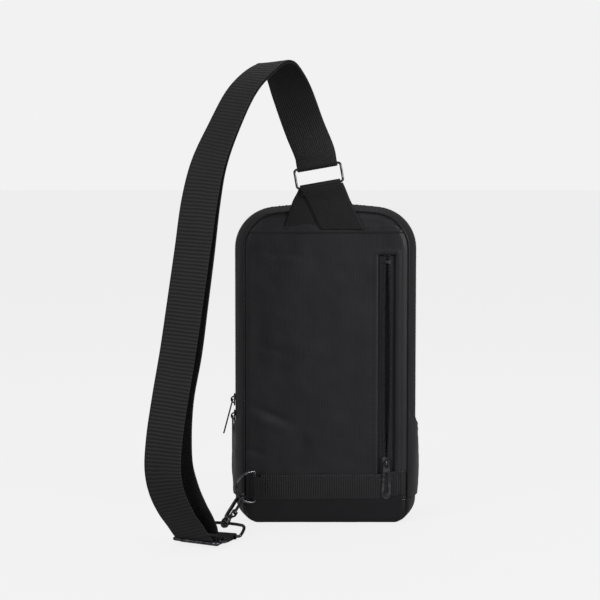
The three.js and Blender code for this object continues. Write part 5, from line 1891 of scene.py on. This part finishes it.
@dataclass
class Hook:
    """Swivel snap hook: bail, turning body and sprung gate."""

    reach: float = 43.0
    wire: float = 1.5
    ring: DRing = field(default_factory=DRing)
    contact_turn: float = math.radians(-40)

    @property
    def contact(self) -> Array:
        """Point of the D-ring's wire that the hook's bend lies on."""
        out = 2 + (self.ring.reach - 2) * math.cos(self.contact_turn)
        return self.ring.local(out, self.ring.half_height * math.sin(self.contact_turn))

    @property
    def bail_at(self) -> Array:
        """Middle of the bail's straight bar."""
        return ground(0, 32, 3.2)

    @property
    def axis(self) -> Array:
        """Direction of the hook from the bail to the D-ring."""
        return unit(self.contact - self.bail_at)

    @property
    def swivel(self) -> Array:
        """Place of the swivel."""
        return self.contact - self.axis * self.reach

    @property
    def bail_across(self) -> Array:
        """Level direction along the bail's bar."""
        return unit(np.array([self.axis[1], -self.axis[0], 0]))

    @property
    def place(self) -> Matrix:
        """Matrix from the hook's frame in metres to the bag's."""
        ring = self.ring
        wire = np.array([-(ring.reach - 2) * math.sin(self.contact_turn), 0,
            ring.half_height * math.cos(self.contact_turn)])
        c, s = math.cos(ring.turn), math.sin(ring.turn)
        wire = -unit(np.array([wire[0] * c, wire[0] * s, wire[2]]))
        y_axis = unit(wire - self.axis * (wire @ self.axis))
        x_axis = np.cross(y_axis, self.axis)
        turn = Matrix([list(row) for row in np.column_stack([x_axis, y_axis, self.axis])]).to_4x4()
        return Matrix.Translation(Vector(self.swivel.tolist()) * MM) @ turn

    def bail(self) -> None:
        """Make the bail with its turned collar."""
        length = float(np.linalg.norm(self.swivel - self.bail_at))
        spots = [(0, length), (12, length), (19.5, length), (22.3, length - 1.1), (22.8, length - 3.4),
            (21.8, 8.6),
                 (19.4, 5.2), (14, 3.8), (7, 3.1), (0, 2.9), (-7, 3.1), (-14, 3.8), (-19.4, 5.2),
                     (-21.8, 8.6),
                 (-22.8, length - 3.4), (-22.3, length - 1.1), (-19.5, length), (-12, length)]
        points = [self.swivel - self.axis * back + self.bail_across * across for across, back in spots]
        wire = tube("bail_wire", smooth_path(points, 170, closed=True), self.wire, 14, closed=True)
        collar = turned("collar", [(2.2, -5.2), (3.9, -5.2), (4.3, -4.6), (4.3, -3.9), (3.6, -3.5),
            (3.6, -3.1),
                                   (4.3, -2.7), (4.3, -2.0), (3.6, -1.6), (3.6, -1.2), (4.3, -0.8),
                                       (4.2, 0.6),
                                   (3.7, 1.0), (2.2, 1.0)])
        settle(collar)
        collar.data.transform(self.place)
        piece = joined("bail_frame", [wire, collar])
        dress(piece, Finish.DARK_NICKEL, "strap_link", "hook_bail")

    def body(self) -> None:
        """Make the hook's body: pin, spine, bend, nose and the cheeks of the gate."""
        bend_height, bend = self.reach - 1.4, 6.0
        spine = [(0, 0, 4.4), (-2.4, 0, 8), (-5.2, 0, 12.6), (-6, 0, 18), (-6, 0, 30)]
        arc = [(bend * math.cos(a), 0, bend_height + bend * math.sin(a)) for a in np.linspace(math.pi, 0, 14)]
        nose = [(6, 0, bend_height - 4), (5.7, 0, bend_height - 6.4)]
        line = smooth_path(spine + arc + nose, 90)
        share = np.linspace(0, 1, 90)
        radius = 1.85 + 0.75 * smoothstep(0.2, 0.0, share) - 0.35 * smoothstep(0.9, 1.0, share)
        wire = tube("hook_wire", line, radius, 16)
        pin = turned("hook_pin", [(0.1, -7.4), (2.6, -7.4), (3.0, -7.0), (3.0, -5.6), (1.9, -5.4),
            (1.9, 1.3), (3.4, 1.5),
                                  (3.7, 2.1), (3.6, 4.8), (2.6, 6.6), (0.1, 7.0)])
        lug = tube("hook_lug", np.array([[x, 0, 5.2 + 0.58 * x] for x in np.linspace(0, 5.2, 8)]), 2.2, 12)
        cheeks = [rounded_box(f"cheek_{side}", (4.2, min(side * 1.6, side * 2.7), 7.2),
            (7.8, max(side * 1.6, side * 2.7), 14.2), 0.5)
                  for side in (-1, 1)]
        piece = joined("hook_frame", [wire, pin, lug, *cheeks], self.place)
        dress(piece, Finish.DARK_NICKEL, "hook_link", "hook_body")
        pin_line = np.array([[6, y, 12.4] for y in np.linspace(-3.1, 3.1, 6)])
        rivet = tube("gate_rivet", pin_line, 0.75, 12)
        rivet.data.transform(self.place)
        dress(rivet, Finish.MATT_NICKEL, "hook_link", "gate_pin")

    def gate(self) -> None:
        """Make the sprung gate with its eye."""
        top = self.reach - 1.4 - 7.0
        line = np.array([[6 - 0.4 * s, 0, 12.4 + (top - 12.4) * s] for s in np.linspace(0, 1, 20)])
        radius = np.full(20, 1.45)
        radius[-1] = 1.0
        rod = tube("gate_rod", line, radius, 14)
        eye = tube("gate_eye", np.array([[6, y, 12.4] for y in np.linspace(-1.25, 1.25, 4)]), 2.0, 16)
        piece = joined("gate_lever", [rod, eye], self.place)
        dress(piece, Finish.MATT_NICKEL, "gate_link", "hook_gate")

    def build(self) -> None:
        """Make the whole hook."""
        self.bail()
        self.body()
        self.gate()


# ---- studio --------------------------------------------------------------------------------------
@dataclass
class Studio:
    """Pale floor, soft light from both sides and above, and the camera."""

    lens: float = 96.9
    eye: tuple[float, float, float] = (-0.026, -1.640, 0.350)
    look_at: tuple[float, float, float] = (-0.026, -0.040, 0.2232)
    paper: str = "#f2f2f2"
    ambient: float = 0.2
    glow: float = 0.93

    def floor(self) -> None:
        """Lay the paper floor."""
        reach = 30000.0
        corners = np.array([[-reach, -reach, -0.3], [reach, -reach, -0.3], [reach, reach, -0.3],
            [-reach, reach, -0.3]])
        piece = make_mesh("paper_floor", corners, [[0, 1, 2, 3]])
        material, tree, shader = start_material("matt white paper")
        place = add_node(tree, "ShaderNodeTexCoord").outputs["Object"]
        grain = add_node(tree, NOISE, {"Scale": 900.0, "Detail": 2.0}, {"Vector": place}).outputs[0]
        colour = add_node(tree, RAMP, {"stops": [(0.2, "#5e5e5e"), (0.8, "#646464")]}, {0: grain})
        tree.links.new(colour.outputs["Color"], shader.inputs["Base Color"])
        shader.inputs["Roughness"].default_value = 0.9
        shader.inputs["Specular IOR Level"].default_value = 0.1
        shader.inputs["Emission Color"].default_value = linear(self.paper)
        rays = add_node(tree, "ShaderNodeLightPath")
        glow = add_node(tree, "ShaderNodeMix", {"data_type": "FLOAT", 2: self.ambient, 3: self.glow},
                        {0: rays.outputs["Is Camera Ray"]})
        tree.links.new(glow.outputs[0], shader.inputs["Emission Strength"])
        piece.data.materials.append(material)

    def lamp(self, name: str, at: Point, size: float, power: float) -> None:
        """Hang a soft square lamp aimed at the bag.

        Args:
            name: Name of the lamp.
            at: Place in metres.
            size: Side of the square in metres.
            power: Power in watts.
        """
        data = bpy.data.lights.new(name, "AREA")
        data.size = size
        data.energy = power
        light = bpy.data.objects.new(name, data)
        light.location = at
        light.rotation_mode = "QUATERNION"
        light.rotation_quaternion = (Vector((-0.03, -0.03, 0.2)) - Vector(at)).to_track_quat("-Z", "Y")
        bpy.context.scene.collection.objects.link(light)

    def build(self) -> None:
        """Set up the world, lamps, floor and camera."""
        scene = bpy.context.scene
        world = bpy.data.worlds.new("paper_sky")
        world.use_nodes = True
        tree = world.node_tree
        sky = tree.nodes["Background"]
        rays = add_node(tree, "ShaderNodeLightPath")
        strength = add_node(tree, "ShaderNodeMix", {"data_type": "FLOAT", 2: self.ambient, 3: 1.0},
                            {0: rays.outputs["Is Camera Ray"]})
        sky.inputs["Color"].default_value = linear(self.paper)
        tree.links.new(strength.outputs[0], sky.inputs["Strength"])
        scene.world = world
        scene.view_settings.view_transform = "Standard"
        self.floor()
        self.lamp("key_softbox", (-1.3, -1.5, 1.5), 0.8, 12.0)
        self.lamp("side_softbox", (1.5, -1.2, 0.75), 0.5, 12.0)
        self.lamp("top_softbox", (0.1, 0.4, 2.1), 1.2, 6.0)
        data = bpy.data.cameras.new("camera")
        data.lens = self.lens
        data.sensor_width = 36.0
        camera = bpy.data.objects.new("camera", data)
        camera.location = self.eye
        camera.rotation_mode = "QUATERNION"
        camera.rotation_quaternion = (Vector(self.look_at) - Vector(self.eye)).to_track_quat("-Z", "Y")
        scene.collection.objects.link(camera)
        scene.camera = camera


def main() -> None:
    """Build the bag in order, from the camera to the smallest hardware."""
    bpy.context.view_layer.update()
    Studio().build()
    BodySide().build()
    Shell().build()
    SidePocket(-1, "left").build()
    SidePocket(1, "right").build()
    FrontSide().build()
    Zips().build()
    Slider("main_upper", (-91.4, 0, 118), (-1, 0, 0), (0, 0, 1), lift=15).build()
    Slider("main_lower", (-91.4, 0, 101), (-1, 0, 0), (0, 0, 1)).build()
    Slider("rear", (60.2, -41.7, 60), (0, -1, 0), (0, 0, 1)).build()
    Slider("front", (44, 50.2, 238), (0, 1, 0), (1, 0, 0)).build()
    TopTab().build()
    Strap().build()
    Adjuster().build()
    DRing().build()
    Hook().build()


if __name__ == "__main__":
    main()
